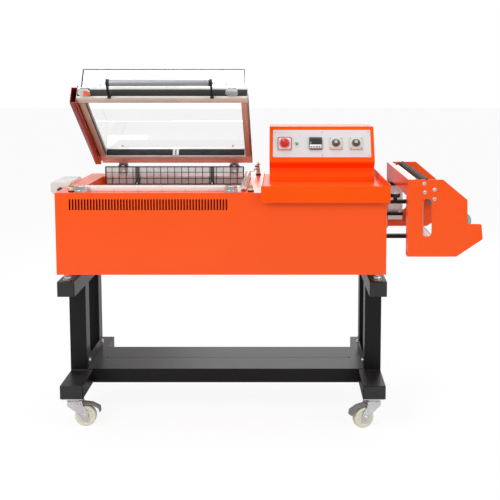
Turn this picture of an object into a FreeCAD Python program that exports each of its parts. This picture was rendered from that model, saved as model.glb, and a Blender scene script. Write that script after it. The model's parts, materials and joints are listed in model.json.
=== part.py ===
import FreeCAD, Part
import math
import os
import re
import Sketcher

# L-bar sealer with a shrink chamber: a sheet-steel body on a welded stand, a clear hood that
# swings down onto an L of two sealing jaws, a control box and a film unit at the right.
# Millimetres. X runs to the operator's right, Y away from the operator, Z up from the floor.

doc = FreeCAD.newDocument("LBarSealer")
sheet = doc.addObject("Spreadsheet::Sheet", "Dimensions")

dimensions = {
    # stand of two welded side frames
    "stand_left": -695.5, "stand_right": 442.5,
    "foot_width": 80, "foot_low": 111, "foot_high": 159, "foot_front": -275, "foot_back": 320,
    "post_width": 60, "post_front": -106, "post_back": 183,
    "beam_width": 60, "beam_low": 476, "beam_high": 529, "tube_wall": 2.5,
    "shelf_front": -94, "shelf_back": 173, "shelf_fold": 50, "shelf_upturn": 45,
    "bolt_setback": 32, "stud_radius": 8, "nut_width": 24, "nut_height": 13,
    # castors
    "wheel_radius": 37.5, "trail": 40, "axle_radius": 5,
    "castor_setback": 46, "castor_plate": 3, "cup_radius": 25, "crown_top": 94, "crown_thick": 4,
    "leg_gap": 31, "leg_thick": 3, "pedal_pivot_along": 25, "pedal_pivot_high": 82,
    # body shell
    "metal": 2, "body_left": -688.5, "body_right": 435.5, "body_front": -300, "body_back": 300,
    "body_low": 560, "body_high": 842,
    "louvre_first": -641, "louvre_pitch": 10.2, "louvre_count": 53, "louvre_width": 5.8,
    "louvre_tall": 37, "louvre_drop": 22,
    # shrink chamber
    "tub_left": -626.5, "tub_right": -57, "tub_front": -215, "tub_back": 200, "tub_low": 650,
    "tub_high": 840, "tub_wall": 1.5, "opening_fold": 42, "mesh_level": 762, "mesh_rod": 4,
    "grille_left": -611, "grille_right": -68, "grille_low": 811, "grille_high": 884,
    "grille_depth": 175, "grille_wire": 3, "grille_columns": 20, "grille_rows": 3,
    "fan_along": -342, "fan_depth": -8, "fan_radius": 100, "shaft_radius": 6,
    "heater_radius": 5, "heater_bend": 18,
    # sealing jaws
    "jaw_top": 860.5, "jaw_low": 848, "jaw_front": -255, "jaw_width": 40,
    "jaw_left": -600, "side_jaw": -52, "side_jaw_width": 20, "side_jaw_back": 210,
    "magnet_radius": 22, "magnet_top": 864.5, "magnet_left": -605, "magnet_right": -94,
    "magnet_depth": -277.5,
    # hood, measured from its hinge axis
    "hinge_depth": 300, "hinge_level": 871, "hood_open": 32, "seal_plane": 861, "pad_thick": 6,
    "hood_left": -636.5, "hood_right": -39.5, "opening_left": -614, "opening_right": -64,
    "opening_back": 105, "opening_front": 520, "rail_depth": 35, "rear_rail": 66,
    "rail_high": 47, "rail_ledge": 42, "channel_left": -658.5,
    "dome_left": -627, "dome_right": -51, "dome_wall": 4,
    "hinge_left": -560, "hinge_right": -112, "pin_radius": 6, "leaf_radius": 15, "leaf_thick": 12,
    "grip_radius": 11, "grip_left": -524.5, "grip_right": -160.5,
    "disc_radius": 22, "disc_thick": 9,
    # control box
    "box_left": 33.5, "box_right": 424.5, "face_depth": 0, "face_low": 921, "face_back": 70,
    "face_high": 1045, "box_back": 236, "panel_gap": 13, "panel_thick": 1.5,
    "instrument_level": 70, "instrument_size": 48,
    "switch_along": 90, "lamp_along": 134.8, "controller_along": 205.5,
    "timer_one": 281.2, "timer_two": 356.1, "timer_dial": 15, "spindle_radius": 3,
    # packing tray
    "tray_left": 9.5, "tray_right": 445, "tray_front": -320, "tray_back": 250,
    # film unit
    "unit_left": 504.5, "unit_high": 889, "unit_low": 626, "unit_front": -315, "unit_back": 305,
    "unit_metal": 2.5, "roller_radius": 30, "roller_drop": 142, "roller_outer": 186,
    "idler_radius": 23, "idler_drop": 236, "roller_inner": 96, "roller_shaft": 6, "bearing_play": 0.05,
}

for row, (alias, size) in enumerate(dimensions.items(), start=1):
    sheet.set(f"A{row}", alias.replace("_", " "))
    sheet.set(f"B{row}", str(size))
    sheet.setAlias(f"B{row}", alias)
doc.recompute()

subparts = []
left, right, front, back = "body_left", "body_right", "body_front", "body_back"


def formula(text):
    """Write a size formula with the sheet's name in front of each alias."""
    def qualified(word):
        return f"Dimensions.{word[0]}" if word[0] in dimensions else word[0]
    return re.sub(r"[a-z][a-z_]*", qualified, str(text))


def number(text):
    return float(sheet.evalExpression(formula(text)))


def bind(thing, setting, text):
    thing.setExpression(setting, formula(text))


def place(solid, x=0, y=0, z=0, rotation=None):
    """Set the placement of a solid, with its base bound to formulas."""
    if rotation is not None:
        solid.Placement = FreeCAD.Placement(FreeCAD.Vector(), rotation)
    for letter, text in (("x", x), ("y", y), ("z", z)):
        bind(solid, f"Placement.Base.{letter}", text)
    return solid


def subpart(label, solid):
    solid.Label = label
    subparts.append(solid)
    return solid


def block(name, x, y, z):
    """Box between pairs of limits along X, Y and Z."""
    solid = doc.addObject("Part::Box", name)
    for side, limits in (("Length", x), ("Width", y), ("Height", z)):
        bind(solid, side, f"({limits[1]}) - ({limits[0]})")
    return place(solid, x[0], y[0], z[0])


towards = {
    "x": FreeCAD.Rotation(FreeCAD.Vector(0, 1, 0), 90),
    "y": FreeCAD.Rotation(FreeCAD.Vector(1, 0, 0), -90),
    "z": FreeCAD.Rotation(),
}


def rod(name, radius, axis, start, length):
    """Round bar of a radius from a start point along an axis."""
    solid = doc.addObject("Part::Cylinder", name)
    bind(solid, "Radius", radius)
    bind(solid, "Height", length)
    return place(solid, *start, rotation=towards[axis])


def prism(name, sides, radius, start, length, axis="z"):
    """Bar with flat sides, such as a fluted knob, from a start point along an axis."""
    solid = doc.addObject("Part::Prism", name)
    solid.Polygon = sides
    bind(solid, "Circumradius", radius)
    bind(solid, "Height", length)
    return place(solid, *start, rotation=towards[axis])


def hexagon(name, across_flats, start, length, axis="z"):
    """Hexagon nut or bolt head."""
    return prism(name, 6, f"({across_flats}) / sqrt(3)", start, length, axis)


def fuse(name, solids):
    joined = doc.addObject("Part::MultiFuse", name)
    joined.Shapes = solids
    joined.Refine = True
    return joined


def cut(name, base, tools):
    remaining = doc.addObject("Part::Cut", name)
    remaining.Base = base
    remaining.Tool = tools[0] if len(tools) == 1 else fuse(name + "_tools", tools)
    remaining.Refine = True
    return remaining


def group(name, solids):
    """Separate solids that share one node."""
    together = doc.addObject("Part::Compound", name)
    together.Links = solids
    return together


def pin_point(sketch, geometry, point, across, up):
    for kind, size in (("DistanceX", across), ("DistanceY", up)):
        constraint = Sketcher.Constraint(kind, -1, 1, geometry, point, number(size))
        index = sketch.addConstraint(constraint)
        bind(sketch, f"Constraints[{index}]", size)


def add_loop(sketch, points):
    """Closed polygon whose corners are pinned to formulas."""
    first = sketch.GeometryCount
    corners = [FreeCAD.Vector(number(a), number(b), 0) for a, b in points]
    count = len(corners)
    for index, corner in enumerate(corners):
        sketch.addGeometry(Part.LineSegment(corner, corners[(index + 1) % count]))
    for index, (across, up) in enumerate(points):
        following = first + (index + 1) % count
        sketch.addConstraint(Sketcher.Constraint("Coincident", first + index, 2, following, 1))
        pin_point(sketch, first + index, 1, across, up)


def add_circle(sketch, radius, across, up):
    centre = FreeCAD.Vector(number(across), number(up), 0)
    index = sketch.GeometryCount
    sketch.addGeometry(Part.Circle(centre, FreeCAD.Vector(0, 0, 1), number(radius)))
    pin_point(sketch, index, 3, across, up)
    size = sketch.addConstraint(Sketcher.Constraint("Radius", index, number(radius)))
    bind(sketch, f"Constraints[{size}]", radius)


def add_slot(sketch, radius, low, high):
    """Obround with its two centres at low and high, one above the other."""
    x, bottom, top = number(low[0]), number(low[1]), number(high[1])
    reach = number(radius)
    first = sketch.GeometryCount
    up = FreeCAD.Vector(0, 0, 1)
    lower = Part.Circle(FreeCAD.Vector(x, bottom, 0), up, reach)
    upper = Part.Circle(FreeCAD.Vector(x, top, 0), up, reach)
    sketch.addGeometry(Part.ArcOfCircle(upper, 0, math.pi))
    sketch.addGeometry(Part.ArcOfCircle(lower, math.pi, 2 * math.pi))
    sides = [(x - reach, top, x - reach, bottom), (x + reach, bottom, x + reach, top)]
    for x1, y1, x2, y2 in sides:
        ends = FreeCAD.Vector(x1, y1, 0), FreeCAD.Vector(x2, y2, 0)
        sketch.addGeometry(Part.LineSegment(*ends))
    for one, end, other, start in ((0, 2, 2, 1), (2, 2, 1, 1), (1, 2, 3, 1), (3, 2, 0, 1)):
        joint = Sketcher.Constraint("Tangent", first + one, end, first + other, start)
        sketch.addConstraint(joint)
    pin_point(sketch, first, 3, *high)
    pin_point(sketch, first + 1, 3, *low)
    size = sketch.addConstraint(Sketcher.Constraint("Radius", first, reach))
    bind(sketch, f"Constraints[{size}]", radius)


def new_sketch(body, plane, name):
    """Empty sketch on one of the body's own origin planes."""
    support = [item for item in body.Origin.OriginFeatures if item.Role == plane][0]
    sketch = body.newObject("Sketcher::SketchObject", name)
    sketch.AttachmentSupport = [(support, "")]
    sketch.MapMode = "FlatFace"
    return sketch


def pad(body, sketch, length, both_ways=False):
    feature = body.newObject("PartDesign::Pad", sketch.Name + "_pad")
    feature.Profile = sketch
    bind(feature, "Length", length)
    feature.Midplane = both_ways
    body.Tip = feature
    sketch.Visibility = False
    return feature


def pocket(body, sketch, length, flipped=False):
    """Cut a sketch out of the body and check that it took something away."""
    before = body.Tip.Shape.Volume
    feature = body.newObject("PartDesign::Pocket", sketch.Name + "_pocket")
    feature.Profile = sketch
    bind(feature, "Length", length)
    feature.Reversed = flipped
    body.Tip = feature
    doc.recompute()
    if feature.Shape.Volume >= before - 1e-3:
        raise RuntimeError(f"{feature.Name} cuts nothing")
    return feature


def polygon_body(name, plane, points, length, holes=(), both_ways=False):
    """Body padded from one outline with inner loops as holes."""
    body = doc.addObject("PartDesign::Body", name)
    sketch = new_sketch(body, plane, name + "_outline")
    add_loop(sketch, points)
    for loop in holes:
        add_loop(sketch, loop)
    pad(body, sketch, length, both_ways)
    return body


def turned_body(name, points, axis="Z_Axis"):
    """Body turned round its own axis from a half section in the XZ plane."""
    body = doc.addObject("PartDesign::Body", name)
    sketch = new_sketch(body, "XZ_Plane", name + "_section")
    add_loop(sketch, points)
    turn = body.newObject("PartDesign::Revolution", name + "_turn")
    turn.Profile = sketch
    line = [item for item in body.Origin.OriginFeatures if item.Role == axis][0]
    turn.ReferenceAxis = (line, [""])
    turn.Angle = 360
    body.Tip = turn
    return body


def repeat(body, feature, axis, spacing, count, name):
    """Linear pattern of a feature along an origin axis of the body."""
    line = [item for item in body.Origin.OriginFeatures if item.Role == axis][0]
    pattern = body.newObject("PartDesign::LinearPattern", name)
    pattern.Originals = feature if isinstance(feature, list) else [feature]
    pattern.Direction = (line, [""])
    pattern.Mode = "Spacing"
    bind(pattern, "Offset", spacing)
    bind(pattern, "Occurrences", count)
    body.Tip = pattern
    return pattern


def dress(body, kind, chosen, size, name):
    """Fillet or chamfer the edges of the body's tip that a test picks."""
    doc.recompute()
    base = body.Tip
    edges = [f"Edge{n}" for n, edge in enumerate(base.Shape.Edges, 1) if chosen(edge)]
    feature = body.newObject(f"PartDesign::{kind}", name)
    feature.Base = (base, edges)
    bind(feature, "Radius" if kind == "Fillet" else "Size", size)
    body.Tip = feature
    return feature


def runs_along(edge, letter):
    """True for a straight edge parallel to one axis."""
    if edge.Curve.TypeId != "Part::GeomLine":
        return False
    span = edge.BoundBox
    others = {"x": (span.YLength, span.ZLength), "y": (span.XLength, span.ZLength),
              "z": (span.XLength, span.YLength)}[letter]
    return max(others) < 1e-6


def shell(body, open_face, thickness, name):
    """Hollow the body out, leaving one face open."""
    doc.recompute()
    base = body.Tip
    faces = [f"Face{n}" for n, face in enumerate(base.Shape.Faces, 1) if open_face(face)]
    feature = body.newObject("PartDesign::Thickness", name)
    feature.Base = (base, faces)
    bind(feature, "Value", thickness)
    feature.Reversed = True
    feature.Join = 1
    body.Tip = feature
    doc.recompute()
    if feature.Shape.Volume > 0.7 * base.Shape.Volume:
        raise RuntimeError(f"{name} is not hollow")
    return feature


# ---- stand

def square_tube(name, x, y, z):
    """Closed square tube: a box with its inside taken out."""
    inner = [[f"{low} + tube_wall", f"{high} - tube_wall"] for low, high in (x, y, z)]
    return cut(name, block(name + "_outside", x, y, z), [block(name + "_inside", *inner)])


def side_frame(label, outer, inward):
    """Foot, two posts and a top beam, welded flush on their outer side."""
    def across(width):
        limits = [outer, f"{outer} {inward} {width}"]
        return limits if inward == "+" else limits[::-1]
    along = ["foot_front", "foot_back"]
    front_post = ["post_front", "post_front + post_width"]
    rear_post = ["post_back - post_width", "post_back"]
    upright = ["foot_high", "beam_low"]
    tubes = [
        square_tube(label + "_foot", across("foot_width"), along, ["foot_low", "foot_high"]),
        square_tube(label + "_front_post", across("post_width"), front_post, upright),
        square_tube(label + "_rear_post", across("post_width"), rear_post, upright),
        square_tube(label + "_beam", across("beam_width"), along, ["beam_low", "beam_high"]),
    ]
    return subpart(label, fuse(label, tubes))


side_frame("left_frame", "stand_left", "+")
side_frame("right_frame", "stand_right", "-")


def make_shelf():
    """Folded tray that rests on both feet and is bolted to the posts at its upturned ends."""
    ends = "stand_left + post_width", "stand_right - post_width"
    folds = ["stand_left + foot_width", "stand_right - foot_width"]
    run = ["shelf_front", "shelf_back"]
    deck_top = "foot_high + metal"
    upturn = [deck_top, f"{deck_top} + shelf_upturn"]
    drop = ["foot_high - shelf_fold", "foot_high"]
    lip = [drop[0], f"{drop[0]} + metal"]
    solids = [
        block("shelf_deck", ends, run, ["foot_high", deck_top]),
        block("shelf_left_end", [ends[0], f"{ends[0]} + metal"], run, upturn),
        block("shelf_right_end", [f"{ends[1]} - metal", ends[1]], run, upturn),
        block("shelf_front_fold", folds, ["shelf_front", "shelf_front + metal"], drop),
        block("shelf_back_fold", folds, ["shelf_back - metal", "shelf_back"], drop),
        block("shelf_front_lip", folds, ["shelf_front + metal", "shelf_front + 14"], lip),
        block("shelf_back_lip", folds, ["shelf_back - 14", "shelf_back - metal"], lip),
    ]
    holes = [rod(f"shelf_hole_{n}", 3.5, "z", [x, "(shelf_front + shelf_back) / 2", "foot_high"],
                 "metal") for n, x in enumerate(["stand_left + 105", "stand_right - 105"])]
    return subpart("shelf", cut("shelf", fuse("shelf_sheet", solids), holes))


make_shelf()


def make_stand_bolts():
    """Four levelling bolts under the body and four hexagon bolts through the shelf ends."""
    solids = []
    for x in "stand_left + beam_width / 2", "stand_right - beam_width / 2":
        for y in "foot_front + bolt_setback", "foot_back - bolt_setback - 24":
            tag = f"{len(solids)}"
            stud = prism("stud_" + tag, 12, "stud_radius", [x, y, "beam_high"],
                         "body_low - beam_high")
            nut = hexagon("nut_" + tag, "nut_width", [x, y, "beam_high"], "nut_height")
            solids.append(fuse("levelling_bolt_" + tag, [stud, nut]))
    for x, side in (("stand_left + post_width + metal", 1), ("stand_right - post_width - metal", -1)):
        start = x if side == 1 else f"{x} - 5.5"
        for y in "post_front + post_width / 2", "post_back - post_width / 2":
            tag = f"{len(solids)}"
            solids.append(hexagon("shelf_bolt_" + tag, 13, [start, y, "foot_high + 30"], 5.5, "x"))
    return subpart("stand_bolts", group("stand_bolts", solids))


make_stand_bolts()


# ---- castors

castors = {
    "front_left": ("stand_left + foot_width / 2", "foot_front + castor_setback", 0),
    "front_right": ("stand_right - foot_width / 2", "foot_front + castor_setback", 205),
    "rear_left": ("stand_left + foot_width / 2", "foot_back - castor_setback", 20),
    "rear_right": ("stand_right - foot_width / 2", "foot_back - castor_setback", 165),
}


def make_castor_plates():
    """Top plate, raceway cup and kingpin of each castor."""
    solids = []
    for name, (x, y, _) in castors.items():
        plate = block(f"{name}_plate", [f"{x} - 38", f"{x} + 38"], [f"{y} - 42", f"{y} + 42"],
                      ["foot_low - castor_plate", "foot_low"])
        cup = prism(f"{name}_cup", 12, "cup_radius", [x, y, "crown_top + 0.3"],
                    "foot_low - castor_plate - crown_top - 0.3")
        kingpin = rod(f"{name}_kingpin", 5, "z", [x, y, "crown_top - 9"], 14)
        head = hexagon(f"{name}_kingpin_head", 17, [x, y, "crown_top - crown_thick - 8"], 7.7)
        solids.append(fuse(f"{name}_swivel", [plate, cup, kingpin, head]))
    return subpart("caster_plates", group("caster_plates", solids))


make_castor_plates()

leg_outline = [
    ("-22", "crown_top - crown_thick"), ("-22", "crown_top - 18"), ("trail - 15", "wheel_radius + 4"),
    ("trail - 13", "wheel_radius - 9"), ("trail - 6", "wheel_radius - 14"),
    ("trail + 6", "wheel_radius - 14"), ("trail + 13", "wheel_radius - 8"),
    ("trail + 11", "wheel_radius + 14"), ("34", "crown_top - crown_thick - 14"),
    ("31", "crown_top - crown_thick"),
]


def make_fork(name, braked):
    """Crown plate and two bent legs that carry the axle bolt behind the swivel."""
    x, y, heading = castors[name]
    crown = prism(f"{name}_crown", 12, "cup_radius + 2", [0, 0, "crown_top - crown_thick"],
                  "crown_thick")
    bridge = block(f"{name}_bridge", ["-20", "31"], ["-leg_gap / 2 - leg_thick",
                   "leg_gap / 2 + leg_thick"], ["crown_top - crown_thick", "crown_top"])
    legs = []
    for side in "near", "far":
        leg = polygon_body(f"{name}_{side}_leg", "XZ_Plane", leg_outline, "leg_thick")
        offset = "-leg_gap / 2" if side == "near" else "leg_gap / 2 + leg_thick"
        legs.append(place(leg, 0, offset, 0))
    axle = rod(f"{name}_axle", "axle_radius", "y", ["trail", "-leg_gap / 2 - leg_thick",
               "wheel_radius"], "leg_gap + 2 * leg_thick")
    head = hexagon(f"{name}_head", 16, ["trail", "-leg_gap / 2 - leg_thick - 6",
                   "wheel_radius"], 6, "y")
    nut = hexagon(f"{name}_nut", 16, ["trail", "leg_gap / 2 + leg_thick", "wheel_radius"], 7, "y")
    solids = [crown, bridge, *legs, axle, head, nut]
    if braked:
        solids.append(rod(f"{name}_pedal_pin", 3, "y", ["pedal_pivot_along",
                      "-leg_gap / 2 - leg_thick", "pedal_pivot_high"], "leg_gap + 2 * leg_thick"))
    bore = rod(f"{name}_bore", "5 + bearing_play", "z", [0, 0, "crown_top - crown_thick"],
               "crown_thick")
    fork = cut(f"{name}_fork", fuse(f"{name}_forging", solids), [bore])
    turn = FreeCAD.Rotation(FreeCAD.Vector(0, 0, 1), heading)
    return subpart(f"{name}_fork", place(fork, x, y, 0, turn))


def make_wheel(name):
    """Solid nylon wheel that turns on its axle bolt with half a millimetre beside each leg."""
    x, y, heading = castors[name]
    bore, face = "axle_radius + bearing_play", "leg_gap / 2 - 0.5"
    wheel = turned_body(f"{name}_wheel", [
        (bore, f"-({face})"), ("wheel_radius", f"-({face})"), ("wheel_radius", face), (bore, face)])
    turn = FreeCAD.Rotation(FreeCAD.Vector(0, 0, 1), heading) * towards["y"]
    radians = math.radians(heading)
    centre = [f"{x} + trail * {math.cos(radians):.6f}", f"{y} + trail * {math.sin(radians):.6f}"]
    return subpart(f"{name}_wheel", place(wheel, *centre, "wheel_radius", turn))


def make_pedal(name):
    """Brake pedal that pivots between the fork legs, with its tip turned down."""
    x, y, heading = castors[name]
    high = "pedal_pivot_high"
    outline = [
        ("17", f"{high} - 3"), ("trail + 22", f"{high} - 4"), ("trail + 46", f"{high} - 16"),
        ("trail + 50", f"{high} - 30"), ("trail + 53", f"{high} - 29"),
        ("trail + 50", f"{high} - 12"), ("trail + 24", f"{high} + 1"), ("33", f"{high} + 5"),
        ("17", f"{high} + 5"),
    ]
    plate = polygon_body(f"{name}_pedal_plate", "XZ_Plane", outline, "leg_gap - 5", both_ways=True)
    hole = rod(f"{name}_pedal_hole", "3 + bearing_play", "y", ["pedal_pivot_along", "-leg_gap / 2",
               high], "leg_gap")
    pedal = cut(f"{name}_brake", plate, [hole])
    turn = FreeCAD.Rotation(FreeCAD.Vector(0, 0, 1), heading)
    return subpart(f"{name}_brake", place(pedal, x, y, 0, turn))


for castor in castors:
    make_fork(castor, castor.startswith("front"))
    make_wheel(castor)
for castor in "front_left", "front_right":
    make_pedal(castor)


# ---- body shell

def make_front_panel():
    """Front sheet with one long row of upright louvre slots near its top edge."""
    body = polygon_body("front_panel", "XZ_Plane", [
        (left, "body_low + metal"), (right, "body_low + metal"),
        (right, "body_high - metal"), (left, "body_high - metal")], "metal")
    slot = new_sketch(body, "XZ_Plane", "louvre")
    low_x, high_x = "louvre_first", "louvre_first + louvre_width"
    high_z = "body_high - louvre_drop"
    low_z = f"{high_z} - louvre_tall"
    add_loop(slot, [(low_x, low_z), (high_x, low_z), (high_x, high_z), (low_x, high_z)])
    doc.recompute()
    cut_slot = pocket(body, slot, "metal", flipped=True)
    repeat(body, cut_slot, "X_Axis", "louvre_pitch", "louvre_count", "louvre_row")
    return subpart("front_panel", place(body, 0, "body_front + metal", 0))


make_front_panel()


def make_body_wrapper():
    """Left side, back and right side folded from one sheet, with vents and a cable hole."""
    tall = ["body_low + metal", "body_high - metal"]
    outside = block("wrapper_outside", [left, right], ["body_front + metal", back], tall)
    inside = block("wrapper_inside", [f"{left} + metal", f"{right} - metal"],
                   ["body_front + metal", f"{back} - metal"], tall)
    holes = [inside]
    for n in range(12):
        low = f"body_right - 190 + {n * 13}"
        holes.append(block(f"rear_vent_{n}", [low, f"{low} + 6"],
                           [f"{back} - metal", back], ["body_low + 60", "body_low + 130"]))
    holes.append(rod("inlet_hole", 12, "y", ["body_right - 60", f"{back} - metal",
                     "body_low + 180"], "metal"))
    return subpart("body_wrapper", cut("body_wrapper", outside, holes))


make_body_wrapper()


def make_base_plate():
    """Bottom sheet with cooling slots under the fan motor and the transformer."""
    sheet_solid = block("base_sheet", [left, right], [front, back], ["body_low", "body_low + metal"])
    slots = []
    for n in range(8):
        for place_x in "fan_along - 70", "body_right - 250":
            low = f"{place_x} + {n * 18}"
            slots.append(block(f"base_slot_{len(slots)}", [low, f"{low} + 7"],
                               ["-190", "-110"], ["body_low", "body_low + metal"]))
    return subpart("base_plate", cut("base_plate", sheet_solid, slots))


make_base_plate()


def make_top_plate():
    """Top sheet whose chamber opening has its edges folded down inside the tub."""
    def inset(depth):
        across = [f"tub_left + tub_wall + {depth}", f"tub_right - tub_wall - {depth}"]
        return across, [f"tub_front + tub_wall + {depth}", f"tub_back - tub_wall - {depth}"]
    deck = block("top_deck", [left, right], [front, back], ["body_high - metal", "body_high"])
    folds = block("opening_folds", *inset(0), ["body_high - opening_fold", "body_high"])
    opening = block("chamber_opening", *inset("metal"), ["body_high - opening_fold", "body_high"])
    return subpart("top_plate", cut("top_plate", fuse("top_sheet", [deck, folds]), [opening]))


make_top_plate()


def make_tub():
    """Stainless chamber tub under the top sheet, with a hole for the fan shaft."""
    body = polygon_body("tub_pan", "XY_Plane", [
        ("tub_left", "tub_front"), ("tub_right", "tub_front"),
        ("tub_right", "tub_back"), ("tub_left", "tub_back")], "tub_high - tub_low")
    high = number("tub_high - tub_low")
    shell(body, lambda face: abs(face.CenterOfMass.z - high) < 1e-6, "tub_wall", "tub_hollow")
    place(body, 0, 0, "tub_low")
    hole = rod("tub_hole", "shaft_radius + 4", "z", ["fan_along", "fan_depth", "tub_low"],
               "tub_wall")
    return subpart("chamber_tub", cut("chamber_tub", body, [hole]))


make_tub()


def make_junction_box():
    """Small sheet-steel box on the left side, its lower outer edge cut at 45 degrees."""
    body = polygon_body("junction_box", "XZ_Plane", [
        ("body_left - 70", "body_high - 26"), ("body_left - 50", "body_high - 44"),
        ("body_left", "body_high - 44"), ("body_left", "body_high + 8"),
        ("body_left - 70", "body_high + 8")], 190)
    dress(body, "Fillet", lambda edge: runs_along(edge, "y") and edge.BoundBox.ZMin > 845,
          4, "box_top_bends")
    return subpart("junction_box", place(body, 0, 110, 0))


make_junction_box()


def make_tray():
    """Packing tray: a floor on the body top with folded front, left and right edges."""
    floor_top = "body_high + metal"
    run = ["tray_front", "tray_back"]
    across = ["tray_left", "tray_right"]
    solids = [
        block("tray_floor", across, run, ["body_high", floor_top]),
        block("tray_lip", across, ["tray_front", "tray_front + metal"],
              ["body_high - 32", "body_high + 25"]),
        block("tray_right_flange", ["tray_right - metal", "tray_right"], run,
              ["body_high - 14", "body_high + 30"]),
        block("tray_left_flange", ["tray_left", "tray_left + metal"], run,
              [floor_top, "body_high + 10"]),
    ]
    return subpart("packing_tray", fuse("packing_tray", solids))


make_tray()


# ---- inside the chamber

def make_product_mesh():
    """Support grid of flat rods that carries the pack above the fan."""
    inner = "(tub_wall + 1)"
    first, last = f"tub_left + {inner}", f"tub_right - {inner}"
    near, far = f"tub_front + {inner}", f"tub_back - {inner}"
    pitch = f"(({far}) - ({near}) - mesh_rod) / 13"
    level = ["mesh_level", "mesh_level + mesh_rod"]
    solids = []
    for n in range(14):
        low = f"{near} + ({pitch}) * {n}"
        solids.append(block(f"mesh_rod_{n}", [first, last], [low, f"{low} + mesh_rod"], level))
    under = ["mesh_level - 8", "mesh_level"]
    for n in range(3):
        low = f"{first} + (({last}) - ({first}) - 6) / 2 * {n}"
        solids.append(block(f"mesh_bearer_{n}", [low, f"{low} + 6"],
                            ["tub_front + tub_wall", "tub_back - tub_wall"], under))
    return subpart("product_mesh", fuse("product_mesh", solids))


make_product_mesh()


def make_grille():
    """Upright air grille, a lattice of square wires, on two slotted height brackets."""
    body = polygon_body("grille_lattice", "XZ_Plane", [
        ("grille_left", "grille_low"), ("grille_right", "grille_low"),
        ("grille_right", "grille_high"), ("grille_left", "grille_high")], "grille_wire")
    cell = new_sketch(body, "XZ_Plane", "grille_cell")
    across = "(grille_right - grille_left - grille_wire) / grille_columns"
    tall = "(grille_high - grille_low - grille_wire) / grille_rows"
    low_x, low_z = "grille_left + grille_wire", "grille_low + grille_wire"
    high_x, high_z = f"grille_left + {across}", f"grille_low + {tall}"
    add_loop(cell, [(low_x, low_z), (high_x, low_z), (high_x, high_z), (low_x, high_z)])
    doc.recompute()
    hole = pocket(body, cell, "grille_wire", flipped=True)
    columns = body.newObject("PartDesign::MultiTransform", "grille_cells")
    body.Tip = columns
    columns.Originals = [hole]
    steps = []
    for axis, spacing, count in (("X_Axis", across, "grille_columns"),
                                 ("Z_Axis", tall, "grille_rows")):
        line = [item for item in body.Origin.OriginFeatures if item.Role == axis][0]
        pattern = body.newObject("PartDesign::LinearPattern", f"grille_{axis[0].lower()}_row")
        pattern.Direction = (line, [""])
        pattern.Mode = "Spacing"
        bind(pattern, "Offset", spacing)
        bind(pattern, "Occurrences", count)
        steps.append(pattern)
    columns.Transformations = steps
    body.Tip = columns
    place(body, 0, "grille_depth + grille_wire", 0)
    solids = [body]
    span = "(grille_right - grille_left)"
    rear = "grille_depth + grille_wire"
    for name, share in (("left", 0.23), ("right", 0.77)):
        x = f"grille_left + {span} * {share}"
        strap = block(f"{name}_strap", [f"{x} - 6", f"{x} + 6"], [rear, f"{rear} + 2"],
                      ["grille_low - 30", "grille_high"])
        foot = block(f"{name}_foot", [f"{x} - 6", f"{x} + 6"],
                     [f"{rear} + 2", "tub_back - tub_wall"], ["grille_low - 30", "grille_low - 28"])
        solids += [strap, foot]
    return subpart("air_outlet_grille", fuse("air_outlet_grille", solids))


make_grille()


def make_heaters():
    """Three pairs of heating tubes between end blocks, on the chamber floor behind the fan."""
    solids = []
    level = "tub_low + 34"
    for n in range(3):
        y = f"fan_depth + 125 + {n * 28} - 14"
        left_end, right_end = "tub_left + 30", "tub_right - 30"
        legs = []
        for side in 0, 1:
            z = f"{level} + {side} * 2 * heater_bend"
            legs.append(prism(f"heater_{n}_leg_{side}", 8, "heater_radius", [left_end, y, z],
                              f"({right_end}) - ({left_end})", "x"))
        tall = [f"{level} - 8", f"{level} + 2 * heater_bend + 8"]
        ends = [["tub_left + tub_wall", left_end], [right_end, "tub_right - tub_wall"]]
        blocks = [block(f"heater_{n}_end_{side}", span, [f"{y} - 9", f"{y} + 9"], tall)
                  for side, span in enumerate(ends)]
        solids.append(fuse(f"heater_{n}", legs + blocks))
    return subpart("heater_elements", group("heater_elements", solids))


make_heaters()


def make_fan():
    """Radial fan wheel: a back plate with sixteen blades on a long shaft, over its motor."""
    body = doc.addObject("PartDesign::Body", "fan_rotor")
    disc = new_sketch(body, "XY_Plane", "fan_disc")
    add_circle(disc, "fan_radius", 0, 0)
    pad(body, disc, 2)
    blade = new_sketch(body, "XY_Plane", "fan_blade")
    add_loop(blade, [("fan_radius - 36", "-1"), ("fan_radius - 1", "13"),
                     ("fan_radius - 1", "15"), ("fan_radius - 36", "1")])
    blade_pad = pad(body, blade, 42)
    doc.recompute()
    ring = body.newObject("PartDesign::PolarPattern", "fan_blades")
    ring.Originals = [blade_pad]
    line = [item for item in body.Origin.OriginFeatures if item.Role == "Z_Axis"][0]
    ring.Axis = (line, [""])
    ring.Angle = 360
    ring.Occurrences = 16
    body.Tip = ring
    place(body, "fan_along", "fan_depth", "tub_low + 15")
    hub = prism("fan_hub", 12, "shaft_radius * 2.5", ["fan_along", "fan_depth", "tub_low + 17"], 26)
    shaft = rod("fan_shaft", "shaft_radius", "z", ["fan_along", "fan_depth", "tub_low - 62"], 79)
    subpart("fan_wheel", fuse("fan_wheel_on_shaft", [body, hub, shaft]))
    can = prism("motor_can", 24, 58, ["fan_along", "fan_depth", "tub_low - 76"], 64)
    flange = block("motor_flange", ["fan_along - 64", "fan_along + 64"],
                   ["fan_depth - 64", "fan_depth + 64"], ["tub_low - 12", "tub_low"])
    bore = rod("motor_bore", "shaft_radius + bearing_play", "z",
               ["fan_along", "fan_depth", "tub_low - 62.5"], 63)
    subpart("fan_motor", cut("fan_motor", fuse("motor_solid", [can, flange]), [bore]))


make_fan()


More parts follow.
